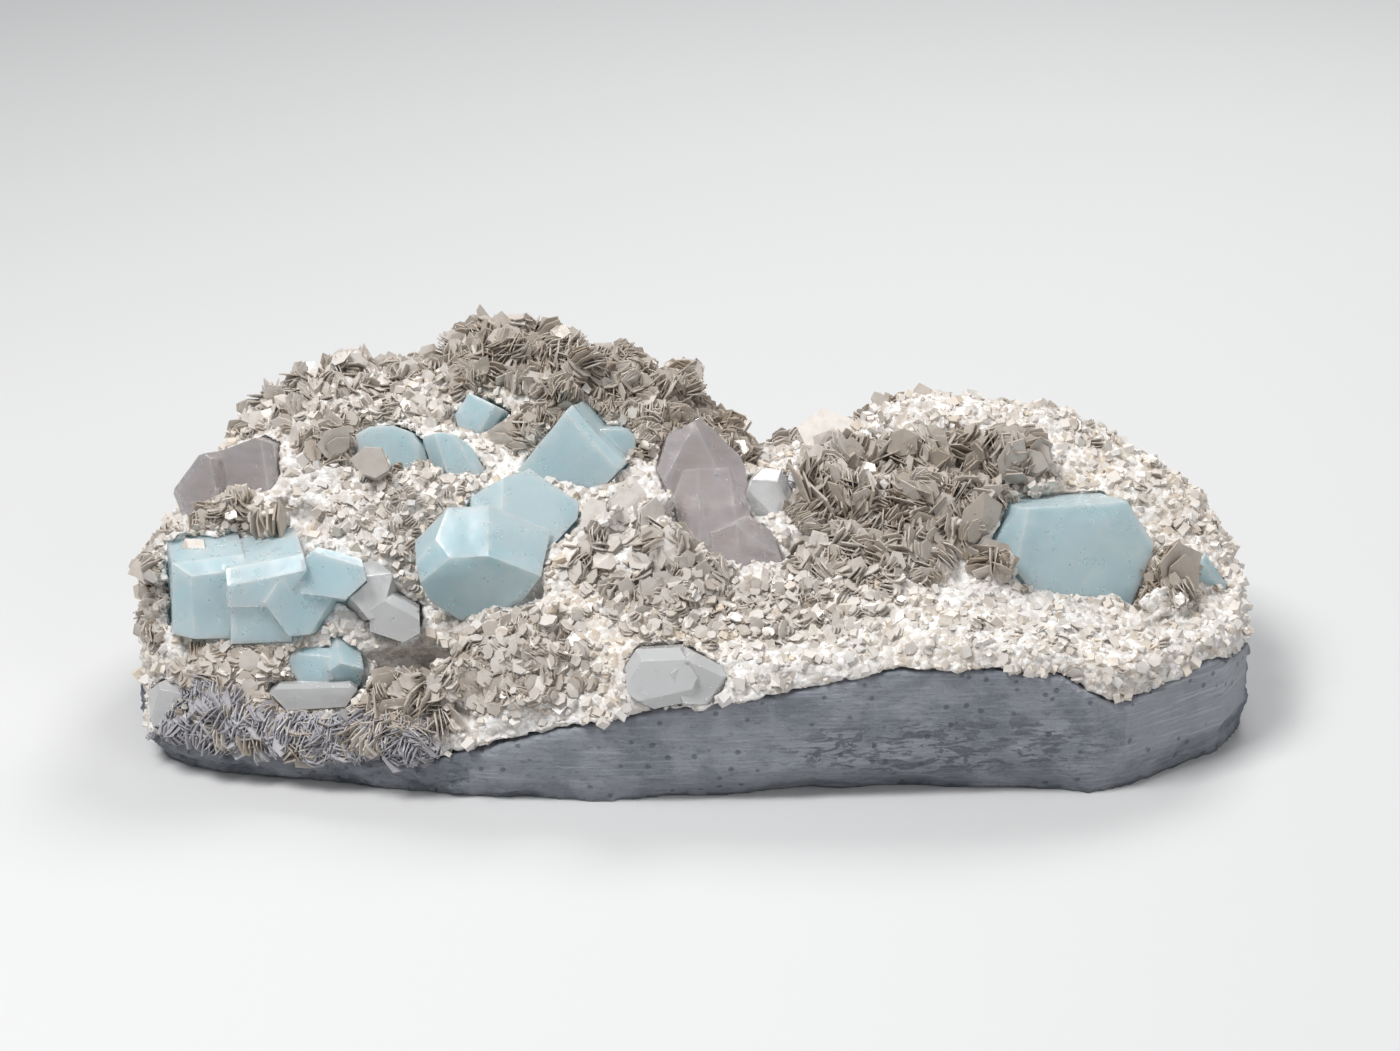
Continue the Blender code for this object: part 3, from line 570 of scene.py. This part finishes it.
def crust_material(colours):
    """Crumbly feldspar: stains from the mesh, fine specks, broken-grain bump and scattered glints."""
    material, g, shader, place = new_material("crust")
    crumbs = g.voronoi(place, 620)
    fine = g.noise(place, 900, 3)
    broad = g.noise(place, 60, 5)
    tone = g.mix(g.steps(broad, 0.35, 0.7), colour4(colours.crust), (0.62, 0.58, 0.54, 1))
    tone = g.mix(g.maths("MULTIPLY", g.attribute("cream"), 0.8), tone, colour4(colours.cream))
    tone = g.mix(g.maths("MULTIPLY", g.attribute("brown"), 0.8), tone, colour4(colours.brown))
    patches = g.steps(g.noise(place, 230, 5, 0.65), 0.52, 0.66)
    tone = g.mix(g.maths("MULTIPLY", patches, g.attribute("grey")), tone, colour4(colours.grey))
    per_crumb = g.add("ShaderNodeSeparateColor", Color=crumbs.outputs["Color"]).outputs[0]
    shade = g.steps(per_crumb, -0.4, 1.2)
    grey_shade = g.add("ShaderNodeCombineColor", Red=shade, Green=shade, Blue=shade).outputs[0]
    tone = g.mix(0.55, tone, grey_shade, "OVERLAY")
    tone = g.mix(g.maths("MULTIPLY", g.steps(fine, 0.62, 0.75), 0.5), tone, (0.3, 0.27, 0.23, 1))
    g.feed(shader.inputs["Base Color"], tone)
    glints = g.steps(per_crumb, 0.86, 0.9)
    g.feed(shader.inputs["Roughness"], g.maths("SUBTRACT", 0.8, g.maths("MULTIPLY", glints, 0.5)))
    height = g.maths("ADD", g.maths("MULTIPLY", per_crumb, 0.7), g.maths("MULTIPLY", fine, 0.6))
    height = g.maths("SUBTRACT", height, g.maths("MULTIPLY", crumbs.outputs["Distance"], 0.6))
    g.feed(shader.inputs["Normal"], g.bump(height, 0.8, 0.9 * MM))
    return material


def rock_material(colours):
    """Blue-grey rock: soft dark patches, pale streaks, a belt of dark specks, pits with painted shade in them and saw
    scratches.
    """
    material, g, shader, place = new_material("rock")
    layered = g.add("ShaderNodeMapping", Vector=place)
    layered.inputs["Rotation"].default_value = (0, math.radians(6), 0)
    layered.inputs["Scale"].default_value = (1, 1, 3.2)
    layers = layered.outputs[0]
    sawn = g.attribute("sawn")
    tone = g.mix(g.steps(g.noise(place, 60, 7, 0.62, 0.4), 0.42, 0.62), colour4(colours.rock), colour4(colours.rock_blue))
    streaks = g.steps(g.noise(layers, 150, 7, 0.7, 0.6), 0.5, 0.68)
    tone = g.mix(g.maths("MULTIPLY", streaks, 0.55), tone, colour4(colours.rock_pale))
    tone = g.mix(g.maths("MULTIPLY", g.steps(g.noise(layers, 330, 5, 0.7), 0.55, 0.62), 0.5), tone, colour4(colours.rock_dark))
    specks = g.steps(g.noise(layers, 150, 6, 0.62, 0.8), 0.5, 0.53)
    tone = g.mix(g.maths("MULTIPLY", specks, g.attribute("specks")), tone, colour4(colours.rock_dark))
    tone = g.mix(g.maths("MULTIPLY", sawn, 0.55), tone, colour4(colours.rock_pale))
    stretched = g.add("ShaderNodeMapping", Vector=place)
    stretched.inputs["Rotation"].default_value = (0, math.radians(42), 0)
    stretched.inputs["Scale"].default_value = (60, 60, 1500)
    scratches = g.add("ShaderNodeTexNoise", Vector=stretched.outputs[0], Scale=1.0, Detail=3.0).outputs["Fac"]
    lines = g.maths("MULTIPLY", g.steps(scratches, 0.48, 0.7), sawn)
    tone = g.mix(g.maths("MULTIPLY", lines, 0.6), tone, (0.45, 0.46, 0.5, 1))
    fine = g.noise(place, 1300, 4, 0.7)
    tone = g.mix(g.maths("MULTIPLY", g.steps(fine, 0.5, 0.72), 0.3), tone, colour4(colours.rock_pale))
    cells = g.voronoi(place, 210)
    pits = g.steps(cells.outputs["Distance"], 0.1, 0.2)
    # Painted shade: the pit centres, sunk by the bump below, are darkened towards the darkest rock colour.
    tone = g.mix(g.maths("MULTIPLY", g.maths("SUBTRACT", 1.0, pits), 0.6), tone, colour4(colours.rock_dark))
    g.feed(shader.inputs["Base Color"], tone)
    height = g.maths("ADD", g.maths("MULTIPLY", scratches, g.maths("MULTIPLY", sawn, 1.5)), g.maths("MULTIPLY", fine, 0.4))
    height = g.maths("ADD", height, g.maths("MULTIPLY", pits, 0.8))
    height = g.maths("ADD", height, g.maths("MULTIPLY", g.noise(layers, 260, 6, 0.7), 1.4))
    g.feed(shader.inputs["Normal"], g.bump(height, 0.6, 0.6 * MM))
    g.feed(shader.inputs["Roughness"], g.maths("SUBTRACT", 0.72, g.maths("MULTIPLY", sawn, 0.2)))
    return material


def mica_materials(kind, pale, dark, rim, polish):
    """Pearly leaf faces and the darker stepped edges of the leaves; polish is the faces' roughness."""
    made = []
    for part, rough in (("face", polish), ("edge", polish + 0.25)):
        material, g, shader, place = new_material(f"{kind}_{part}")
        tint = g.attribute("tint")
        tone = g.mix(tint, colour4(pale), colour4(dark))
        blotch = g.steps(g.noise(place, 420, 4, 0.6), 0.4, 0.75)
        tone = g.mix(g.maths("MULTIPLY", blotch, 0.3), tone, colour4(dark))
        if part == "edge":
            tone = g.mix(g.maths("ADD", 0.3, g.maths("MULTIPLY", tint, 0.6)), tone, colour4(rim))
        g.feed(shader.inputs["Base Color"], tone)
        shader.inputs["Roughness"].default_value = rough
        shader.inputs["IOR"].default_value = 1.57
        height = g.noise(place, 1500, 2)
        g.feed(shader.inputs["Normal"], g.bump(height, 0.25, 0.2 * MM))
        made.append(material)
    return made


def grain_material(colours):
    """White to cream feldspar grains."""
    material, g, shader, place = new_material("grains")
    tone = g.mix(g.attribute("tint"), colour4(colours.crust), colour4(colours.cream))
    tone = g.mix(g.maths("MULTIPLY", g.noise(place, 700, 3), 0.4), tone, (0.5, 0.46, 0.42, 1))
    g.feed(shader.inputs["Base Color"], tone)
    shader.inputs["Roughness"].default_value = 0.6
    g.feed(shader.inputs["Normal"], g.bump(g.noise(place, 2200, 2), 0.3, 0.2 * MM))
    return material


def aquamarine_material(colours):
    """Milky pale blue: cloudy veils and deeper patches under a soft polish."""
    material, g, shader, place = new_material("aquamarine")
    cloud = g.noise(place, 38, 4, 0.55, 0.6)
    veil = g.noise(place, 120, 6, 0.65, 1.8)
    tone = g.mix(g.steps(cloud, 0.35, 0.72), colour4(colours.aquamarine_deep), colour4(colours.aquamarine))
    tone = g.mix(g.maths("MULTIPLY", g.steps(veil, 0.52, 0.78), 0.6), tone, (0.9, 0.96, 0.97, 1))
    # Painted highlight: patchy near-white colour along the crystal edges.
    edge_highlight = g.maths("MULTIPLY", g.attribute("edge_highlight"), g.steps(g.noise(place, 300, 3), 0.3, 0.6))
    tone = g.mix(g.maths("MULTIPLY", edge_highlight, 0.7), tone, (0.92, 0.97, 0.98, 1))
    g.feed(shader.inputs["Base Color"], tone)
    shader.inputs["Transmission Weight"].default_value = 0.45
    shader.inputs["IOR"].default_value = 1.57
    shader.inputs["Subsurface Weight"].default_value = 0.6
    shader.inputs["Subsurface Radius"].default_value = (0.7, 1.0, 1.0)
    shader.inputs["Subsurface Scale"].default_value = 5 * MM
    etch = g.noise(place, 240, 3, 0.6)
    g.feed(shader.inputs["Roughness"], g.maths("ADD", 0.16, g.maths("MULTIPLY", etch, 0.3)))
    g.feed(shader.inputs["Normal"], g.bump(etch, 0.16, 0.6 * MM))
    return material


def quartz_material(name, clear, milky, transmission):
    """Glassy quartz with fracture veils; clear and milky are its two colours."""
    material, g, shader, place = new_material(name)
    cloud = g.noise(place, 80, 5, 0.6, 0.8)
    veil = g.noise(place, 210, 6, 0.7, 2.0)
    tone = g.mix(g.steps(cloud, 0.38, 0.7), colour4(clear), colour4(milky))
    tone = g.mix(g.maths("MULTIPLY", g.steps(veil, 0.56, 0.72), 0.6), tone, (0.9, 0.88, 0.88, 1))
    # Painted highlight: near-white colour along the crystal edges.
    tone = g.mix(g.maths("MULTIPLY", g.attribute("edge_highlight"), 0.6), tone, (0.95, 0.94, 0.94, 1))
    g.feed(shader.inputs["Base Color"], tone)
    shader.inputs["Transmission Weight"].default_value = transmission
    shader.inputs["IOR"].default_value = 1.55
    etch = g.noise(place, 300, 5, 0.7)
    g.feed(shader.inputs["Roughness"], g.maths("ADD", 0.05, g.maths("MULTIPLY", g.steps(etch, 0.4, 0.8), 0.35)))
    ripples = g.add("ShaderNodeTexWave", {"wave_type": "RINGS"}, Vector=place, Scale=90.0, Distortion=6.0, Detail=2.0)
    height = g.maths("ADD", g.maths("MULTIPLY", ripples.outputs["Fac"], 0.4), etch)
    g.feed(shader.inputs["Normal"], g.bump(height, 0.25, 0.6 * MM))
    return material


def plain_material(name, colour, roughness):
    material, g, shader, place = new_material(name)
    tone = g.mix(g.steps(g.noise(place, 800, 3), 0.3, 0.7), colour4(colour), colour4([0.6 * c for c in colour]))
    g.feed(shader.inputs["Base Color"], tone)
    shader.inputs["Roughness"].default_value = roughness
    return material


# Pieces


class SPECIMEN_OT_rock(bpy.types.Operator):
    """Builds the grey rock with its sawn front, broken foot and rough back"""

    bl_idname = "specimen.rock"
    bl_label = "Grey rock"

    def execute(self, context):
        sizes, colours = context.scene.specimen_sizes, context.scene.specimen_colours
        mesh = remeshed("wall_rock", sizes.rock_cell)
        places, normals = mesh_arrays(mesh)
        top_facing = np.abs(normals[:, 2]) > 0.7
        x, y, z = places.T
        right_facet = (normals[:, 0] > 0.35) & (normals[:, 1] < -0.4) & (z > 9 * MM)
        front = (normals[:, 1] < -0.6) & (x > -56 * MM)
        rough = np.where(front, 0.35, 1.0)
        rough = np.where(right_facet, 0.05, rough)
        layered = places * np.array([1, 1, 2.5])
        push = rough * (
            0.9 * MM * broken_facets(layered, 9 * MM, sizes.seed)
            + 0.6 * MM * broken_facets(layered, 3.5 * MM, sizes.seed + 5)
            + 0.5 * MM * soft_noise(places, 3 * MM, sizes.seed + 9)
        )
        foot = np.clip(1 - z / (5 * MM), 0, 1)
        push -= foot * 1.6 * MM * (0.5 + 0.5 * soft_noise(places * np.array([1, 1, 0]), 6 * MM, sizes.seed + 12))
        push = np.where(top_facing, 0, push)
        moved = places + normals * push[:, None]
        moved[:, 2] = np.maximum(moved[:, 2], 0)
        set_places(mesh, moved)
        set_attribute(mesh, "sawn", np.where(right_facet, 1.0, np.where(front, 0.35, 0.0)))
        belt = patch_share(places, (62, -62, 14), (48, 16, 9))
        set_attribute(mesh, "specks", np.clip(belt + 0.12, 0, 1))
        mesh.polygons.foreach_set("use_smooth", np.ones(len(mesh.polygons), bool))
        add_piece("rock_skin", mesh, [rock_material(colours)], ["wall_rock"])
        return {"FINISHED"}


class SPECIMEN_OT_crust(bpy.types.Operator):
    """Builds the crumbly feldspar crust with lumps, broken crumbs and stains"""

    bl_idname = "specimen.crust"
    bl_label = "Feldspar crust"

    def execute(self, context):
        sizes, colours = context.scene.specimen_sizes, context.scene.specimen_colours
        mesh = remeshed("feldspar_crust", sizes.crust_cell)
        places, normals = mesh_arrays(mesh)
        seed = sizes.seed + 20
        flat = places * np.array([1, 1, 1.8])
        push = 1.3 * MM * soft_noise(flat, 13 * MM, seed + 80)
        push += sizes.lump_height * (1 - 2 * np.clip(cell_noise(flat, sizes.lump, seed)[0], 0, 1) ** 2)
        push += sizes.crumb_height * broken_facets(flat, sizes.crumb, seed + 30)
        push += 0.35 * MM * broken_facets(flat, 1.7 * MM, seed + 50)
        push = 0.75 * push - 0.5 * MM
        for centre, reach, depth in HOLLOWS:
            push -= depth * MM * patch_share(places, centre, reach) * (normals[:, 2] > -0.3)
        set_places(mesh, places + normals * push[:, None])
        shares = np.zeros((len(places), 3))
        for centre, reach, amounts in CRUST_STAINS:
            shares = np.maximum(shares, patch_share(places, centre, reach)[:, None] * np.array(amounts))
        ragged = 0.75 + 0.5 * soft_noise(places, 6 * MM, seed + 70)
        for i, name in enumerate(("cream", "grey", "brown")):
            set_attribute(mesh, name, np.clip(shares[:, i] * ragged, 0, 1))
        mesh.polygons.foreach_set("use_smooth", np.ones(len(mesh.polygons), bool))
        add_piece("crust_skin", mesh, [crust_material(colours)], ["feldspar_crust"])
        return {"FINISHED"}


def crust_anchors():
    """Points of the crust where things grow: place, normal, distance from the crystals and way from them."""
    places, normals = mesh_arrays(bpy.data.objects["crust_skin"].data)
    free = (normals[:, 2] > -0.35) & (places[:, 2] > 9 * MM)
    joint = (normals[:, 2] < -0.2) | ((np.abs(normals[:, 2]) < 0.2) & (places[:, 2] < 6 * MM))
    free &= ~joint
    places, normals = places[free], normals[free]
    distances, away, open_air = crystal_clearance(places, normals, crystal_tree())
    clear = (distances > 0.7 * MM) & open_air
    return places[clear], normals[clear], distances[clear], away[clear]


class SPECIMEN_OT_mica(bpy.types.Operator):
    """Grows the mica books patch by patch and the single large books"""

    bl_idname = "specimen.mica"
    bl_label = "Mica books"

    def execute(self, context):
        sizes, colours = context.scene.specimen_sizes, context.scene.specimen_colours
        rng = np.random.default_rng(sizes.seed)
        places, normals, distances, away = crust_anchors()
        materials = mica_materials("mica", colours.mica_pale, colours.mica_tan, colours.mica_edge, 0.3)
        silver = mica_materials("silver_mica", colours.silver, colours.silver_dark, colours.silver_dark, 0.16)
        regions = {}
        for region, centre, reach, books, leaves, radius, fan, tint, lean in MICA_PATCHES + SILVER_PATCHES:
            share = patch_share(places, centre, reach)
            chance = share / max(share.sum(), 1e-9)
            count = min(books, int((share > 0).sum()))
            picked = rng.choice(len(places), count, replace=False, p=chance)
            radii = rng.uniform(*radius, count) * MM
            radii = np.minimum(radii, np.maximum(0.8 * MM, 0.6 * distances[picked]))
            tilt = np.radians(np.clip(rng.normal(lean, 18, (count, 1)), 0, 88))
            away_from = np.clip(1 - distances[picked] / (5 * MM), 0, 1)[:, None] * away[picked]
            upright = unit(normals[picked] + away_from)
            sideways = unit(np.cross(upright, rng.normal(size=(count, 3))))
            outward = np.cos(tilt) * upright + np.sin(tilt) * sideways
            swirl = np.stack([soft_noise(places[picked], 14 * MM, 90 + axis) for axis in range(3)], axis=1)
            facing = unit(swirl + 0.5 * rng.normal(size=(count, 3)))
            if region == "silver":
                facing = unit(np.array([0.25, 1.0, 0.1]) + 0.35 * rng.normal(size=(count, 3)))
            standing = unit(np.cross(outward, facing))
            lying = unit(upright - outward * np.sum(upright * outward, axis=1)[:, None])
            normal = unit(np.where(tilt > math.radians(50), lying + 0.35 * standing, standing))
            outward = unit(outward - normal * np.sum(outward * normal, axis=1)[:, None])
            found = dict(
                roots=places[picked] - outward * (0.15 * radii)[:, None],
                outward=outward,
                normals=normal,
                radii=radii,
                counts=rng.integers(leaves[0], leaves[1] + 1, count),
                fans=rng.uniform(0.3, 1.2, count) * fan,
                tints=np.clip(tint + rng.normal(0, 0.15, count), 0, 1),
            )
            group = regions.setdefault(region, [])
            group.append(found)
        for region, group in regions.items():
            joined = {key: np.concatenate([part[key] for part in group]) for key in group[0]}
            leaves = book_leaves(**joined, thickness=sizes.leaf_thickness, rng=rng)
            mesh = leaf_mesh(f"mica_{region}", rng=rng, **leaves)
            add_piece(f"mica_{region}", mesh, silver if region == "silver" else materials)
        self.single_books(materials, sizes, rng)
        return {"FINISHED"}

    def single_books(self, materials, sizes, rng):
        """The large books, each leaf stack placed by its centre, lean and facing."""
        table = np.array(HERO_BOOKS, float)
        centre = table[:, :3] * MM
        lean, facing, spin = np.radians(table[:, 4]), np.radians(table[:, 5]), np.radians(table[:, 6])
        normal = np.stack([np.sin(lean) * np.cos(facing), np.sin(lean) * np.sin(facing), np.cos(lean)], axis=1)
        up = unit(np.array([[0, 0, 1.0]]) - normal * normal[:, 2:3])
        across = np.cross(normal, up)
        out = up * np.cos(spin)[:, None] + across * np.sin(spin)[:, None]
        radii = table[:, 3] * MM
        leaves = book_leaves(
            roots=centre - up * (0.45 * radii)[:, None],
            outward=unit(0.8 * up + 0.2 * out),
            normals=normal,
            radii=radii,
            counts=table[:, 7].astype(int),
            fans=table[:, 8],
            tints=table[:, 9],
            thickness=1.5 * sizes.leaf_thickness,
            rng=rng,
        )
        mesh = leaf_mesh("mica_large_books", rng=rng, **leaves)
        add_piece("mica_large_books", mesh, materials)


class SPECIMEN_OT_grains(bpy.types.Operator):
    """Strews loose feldspar grains over the crust"""

    bl_idname = "specimen.grains"
    bl_label = "Feldspar grains"

    def execute(self, context):
        sizes, colours = context.scene.specimen_sizes, context.scene.specimen_colours
        rng = np.random.default_rng(sizes.seed + 1)
        places, normals, distances, _ = crust_anchors()
        picked = rng.choice(len(places), min(sizes.grains, len(places)), replace=False)
        size = sizes.grain_size * rng.uniform(0.4, 1.25, len(picked)) ** 2.2
        size = np.minimum(size, np.maximum(0.2 * MM, 0.5 * distances[picked]))
        centres = places[picked] + normals[picked] * (0.3 * size)[:, None]
        tints = np.clip(rng.normal(0.25, 0.25, len(picked)), 0, 1)
        mesh = grain_mesh("feldspar_grains", centres, size, tints, rng)
        add_piece("feldspar_grains", mesh, [grain_material(colours)])
        return {"FINISHED"}


def worn_crystal(node, bevel, cell):
    """The node's block with worn edges, slightly uneven faces and a mask along its edges for a painted highlight."""
    bm = joined_copy(node)
    bmesh.ops.dissolve_limit(bm, angle_limit=math.radians(1), verts=bm.verts, edges=bm.edges)
    sharp = [edge for edge in bm.edges if len(edge.link_faces) == 2 and edge.calc_face_angle(0) > math.radians(8)]
    ends = np.array([[vert.co[:] for vert in edge.verts] for edge in sharp])
    bmesh.ops.bevel(bm, geom=sharp, offset=bevel, segments=2, affect="EDGES", profile=0.6, clamp_overlap=True)
    bmesh.ops.triangulate(bm, faces=bm.faces)
    for _ in range(6):
        long_edges = [edge for edge in bm.edges if edge.calc_length() > cell]
        if not long_edges:
            break
        bmesh.ops.subdivide_edges(bm, edges=long_edges, cuts=1, use_grid_fill=False)
        bmesh.ops.triangulate(bm, faces=bm.faces)
    mesh = bpy.data.meshes.new(node)
    bm.to_mesh(mesh)
    bm.free()
    places, normals = mesh_arrays(mesh)
    nearest = np.full(len(places), 1.0)
    for start, end in ends:
        run = end - start
        share = np.clip((places - start) @ run / (run @ run), 0, 1)
        nearest = np.minimum(nearest, np.linalg.norm(places - start - share[:, None] * run, axis=1))
    # Mask for a painted highlight along the sharp edges, fading out within about 0.7 mm.
    ragged = 1 + 0.6 * soft_noise(places, 2.5 * MM, 3)
    set_attribute(mesh, "edge_highlight", np.exp(-nearest / (0.7 * MM * ragged)))
    uneven = 0.22 * MM * soft_noise(places, 9 * MM, 8) + 0.08 * MM * soft_noise(places, 3 * MM, 9)
    set_places(mesh, places + normals * uneven[:, None])
    mesh.polygons.foreach_set("use_smooth", np.ones(len(mesh.polygons), bool))
    mesh.set_sharp_from_angle(angle=math.radians(22))
    return mesh


class SPECIMEN_OT_crystals(bpy.types.Operator):
    """Builds the aquamarine and quartz crystals with worn edges"""

    bl_idname = "specimen.crystals"
    bl_label = "Crystals"

    def execute(self, context):
        sizes, colours = context.scene.specimen_sizes, context.scene.specimen_colours
        kinds = (
            (AQUAMARINE_NODES, aquamarine_material(colours), "aquamarine"),
            (SMOKY_NODES, quartz_material("smoky_quartz", colours.smoky, colours.lilac, 0.7), "smoky_quartz"),
            (PALE_NODES, quartz_material("pale_quartz", colours.quartz, (0.9, 0.9, 0.9), 0.55), "pale_quartz"),
        )
        for nodes, material, slot in kinds:
            for node in nodes:
                add_piece(f"{node}_worn", worn_crystal(node, sizes.crystal_bevel, sizes.crystal_cell), [material], [node])
        return {"FINISHED"}


class SPECIMEN_OT_stage(bpy.types.Operator):
    """Sets the pale floor, the studio lights and the camera"""

    bl_idname = "specimen.stage"
    bl_label = "Stage"

    def execute(self, context):
        scene = context.scene
        mesh = bpy.data.meshes.new("floor")
        bm = bmesh.new()
        bmesh.ops.create_grid(bm, x_segments=1, y_segments=1, size=4.0)
        bm.to_mesh(mesh)
        bm.free()
        floor = bpy.data.objects.new("floor", mesh)
        floor.location.z = -0.1 * MM
        scene.collection.objects.link(floor)
        mesh.materials.append(plain_floor(scene.specimen_colours.floor))

        for name, place, size, power in (
            ("key", (-0.45, -0.35, 1.05), 0.45, 13.0),
            ("fill", (0.8, -0.9, 0.7), 0.6, 3.5),
            ("rim", (0.3, 0.7, 0.9), 0.5, 7.0),
        ):
            light = bpy.data.lights.new(name, "AREA")
            light.size = size
            light.energy = power
            lamp = bpy.data.objects.new(name, light)
            lamp.location = place
            lamp.rotation_euler = (Vector((0, 0, 0.04)) - Vector(place)).to_track_quat("-Z", "Y").to_euler()
            scene.collection.objects.link(lamp)

        world = bpy.data.worlds.new("studio")
        world.use_nodes = True
        world.node_tree.nodes["Background"].inputs["Color"].default_value = (0.8, 0.82, 0.85, 1)
        world.node_tree.nodes["Background"].inputs["Strength"].default_value = 0.3
        scene.world = world

        camera = bpy.data.cameras.new("camera")
        camera.lens = 90
        camera.sensor_width = 36
        camera.clip_start = 0.01
        eye = bpy.data.objects.new("camera", camera)
        tilt = math.radians(22)
        aim = Vector((2.7, 0, 48)) * MM
        eye.location = aim - Vector((0, math.cos(tilt), -math.sin(tilt))) * 942 * MM
        eye.rotation_euler = (math.radians(90) - tilt, 0, 0)
        scene.collection.objects.link(eye)
        scene.camera = eye
        scene.view_settings.view_transform = "Standard"
        return {"FINISHED"}


def plain_floor(colour):
    material = bpy.data.materials.new("floor")
    material.use_nodes = True
    shader = material.node_tree.nodes["Principled BSDF"]
    shader.inputs["Base Color"].default_value = colour4(colour)
    shader.inputs["Roughness"].default_value = 0.8
    return material


class SPECIMEN_PT_panel(bpy.types.Panel):
    bl_label = "Specimen"
    bl_idname = "SPECIMEN_PT_panel"
    bl_space_type = "VIEW_3D"
    bl_region_type = "UI"
    bl_category = "Specimen"

    def draw(self, context):
        for group in (context.scene.specimen_sizes, context.scene.specimen_colours):
            for name in group.bl_rna.properties.keys():
                if name not in ("rna_type", "name"):
                    self.layout.prop(group, name)
        for operator in OPERATORS:
            self.layout.operator(operator.bl_idname)


OPERATORS = (
    SPECIMEN_OT_rock,
    SPECIMEN_OT_crust,
    SPECIMEN_OT_mica,
    SPECIMEN_OT_grains,
    SPECIMEN_OT_crystals,
    SPECIMEN_OT_stage,
)
CLASSES = (SpecimenSizes, SpecimenColours, *OPERATORS, SPECIMEN_PT_panel)


def register():
    for each in CLASSES:
        bpy.utils.register_class(each)
    bpy.types.Scene.specimen_sizes = PointerProperty(type=SpecimenSizes)
    bpy.types.Scene.specimen_colours = PointerProperty(type=SpecimenColours)


def unregister():
    del bpy.types.Scene.specimen_colours
    del bpy.types.Scene.specimen_sizes
    for each in reversed(CLASSES):
        bpy.utils.unregister_class(each)


def main():
    register()
    for operator in OPERATORS:
        group, name = operator.bl_idname.split(".")
        getattr(getattr(bpy.ops, group), name)()


if __name__ == "__main__":
    main()
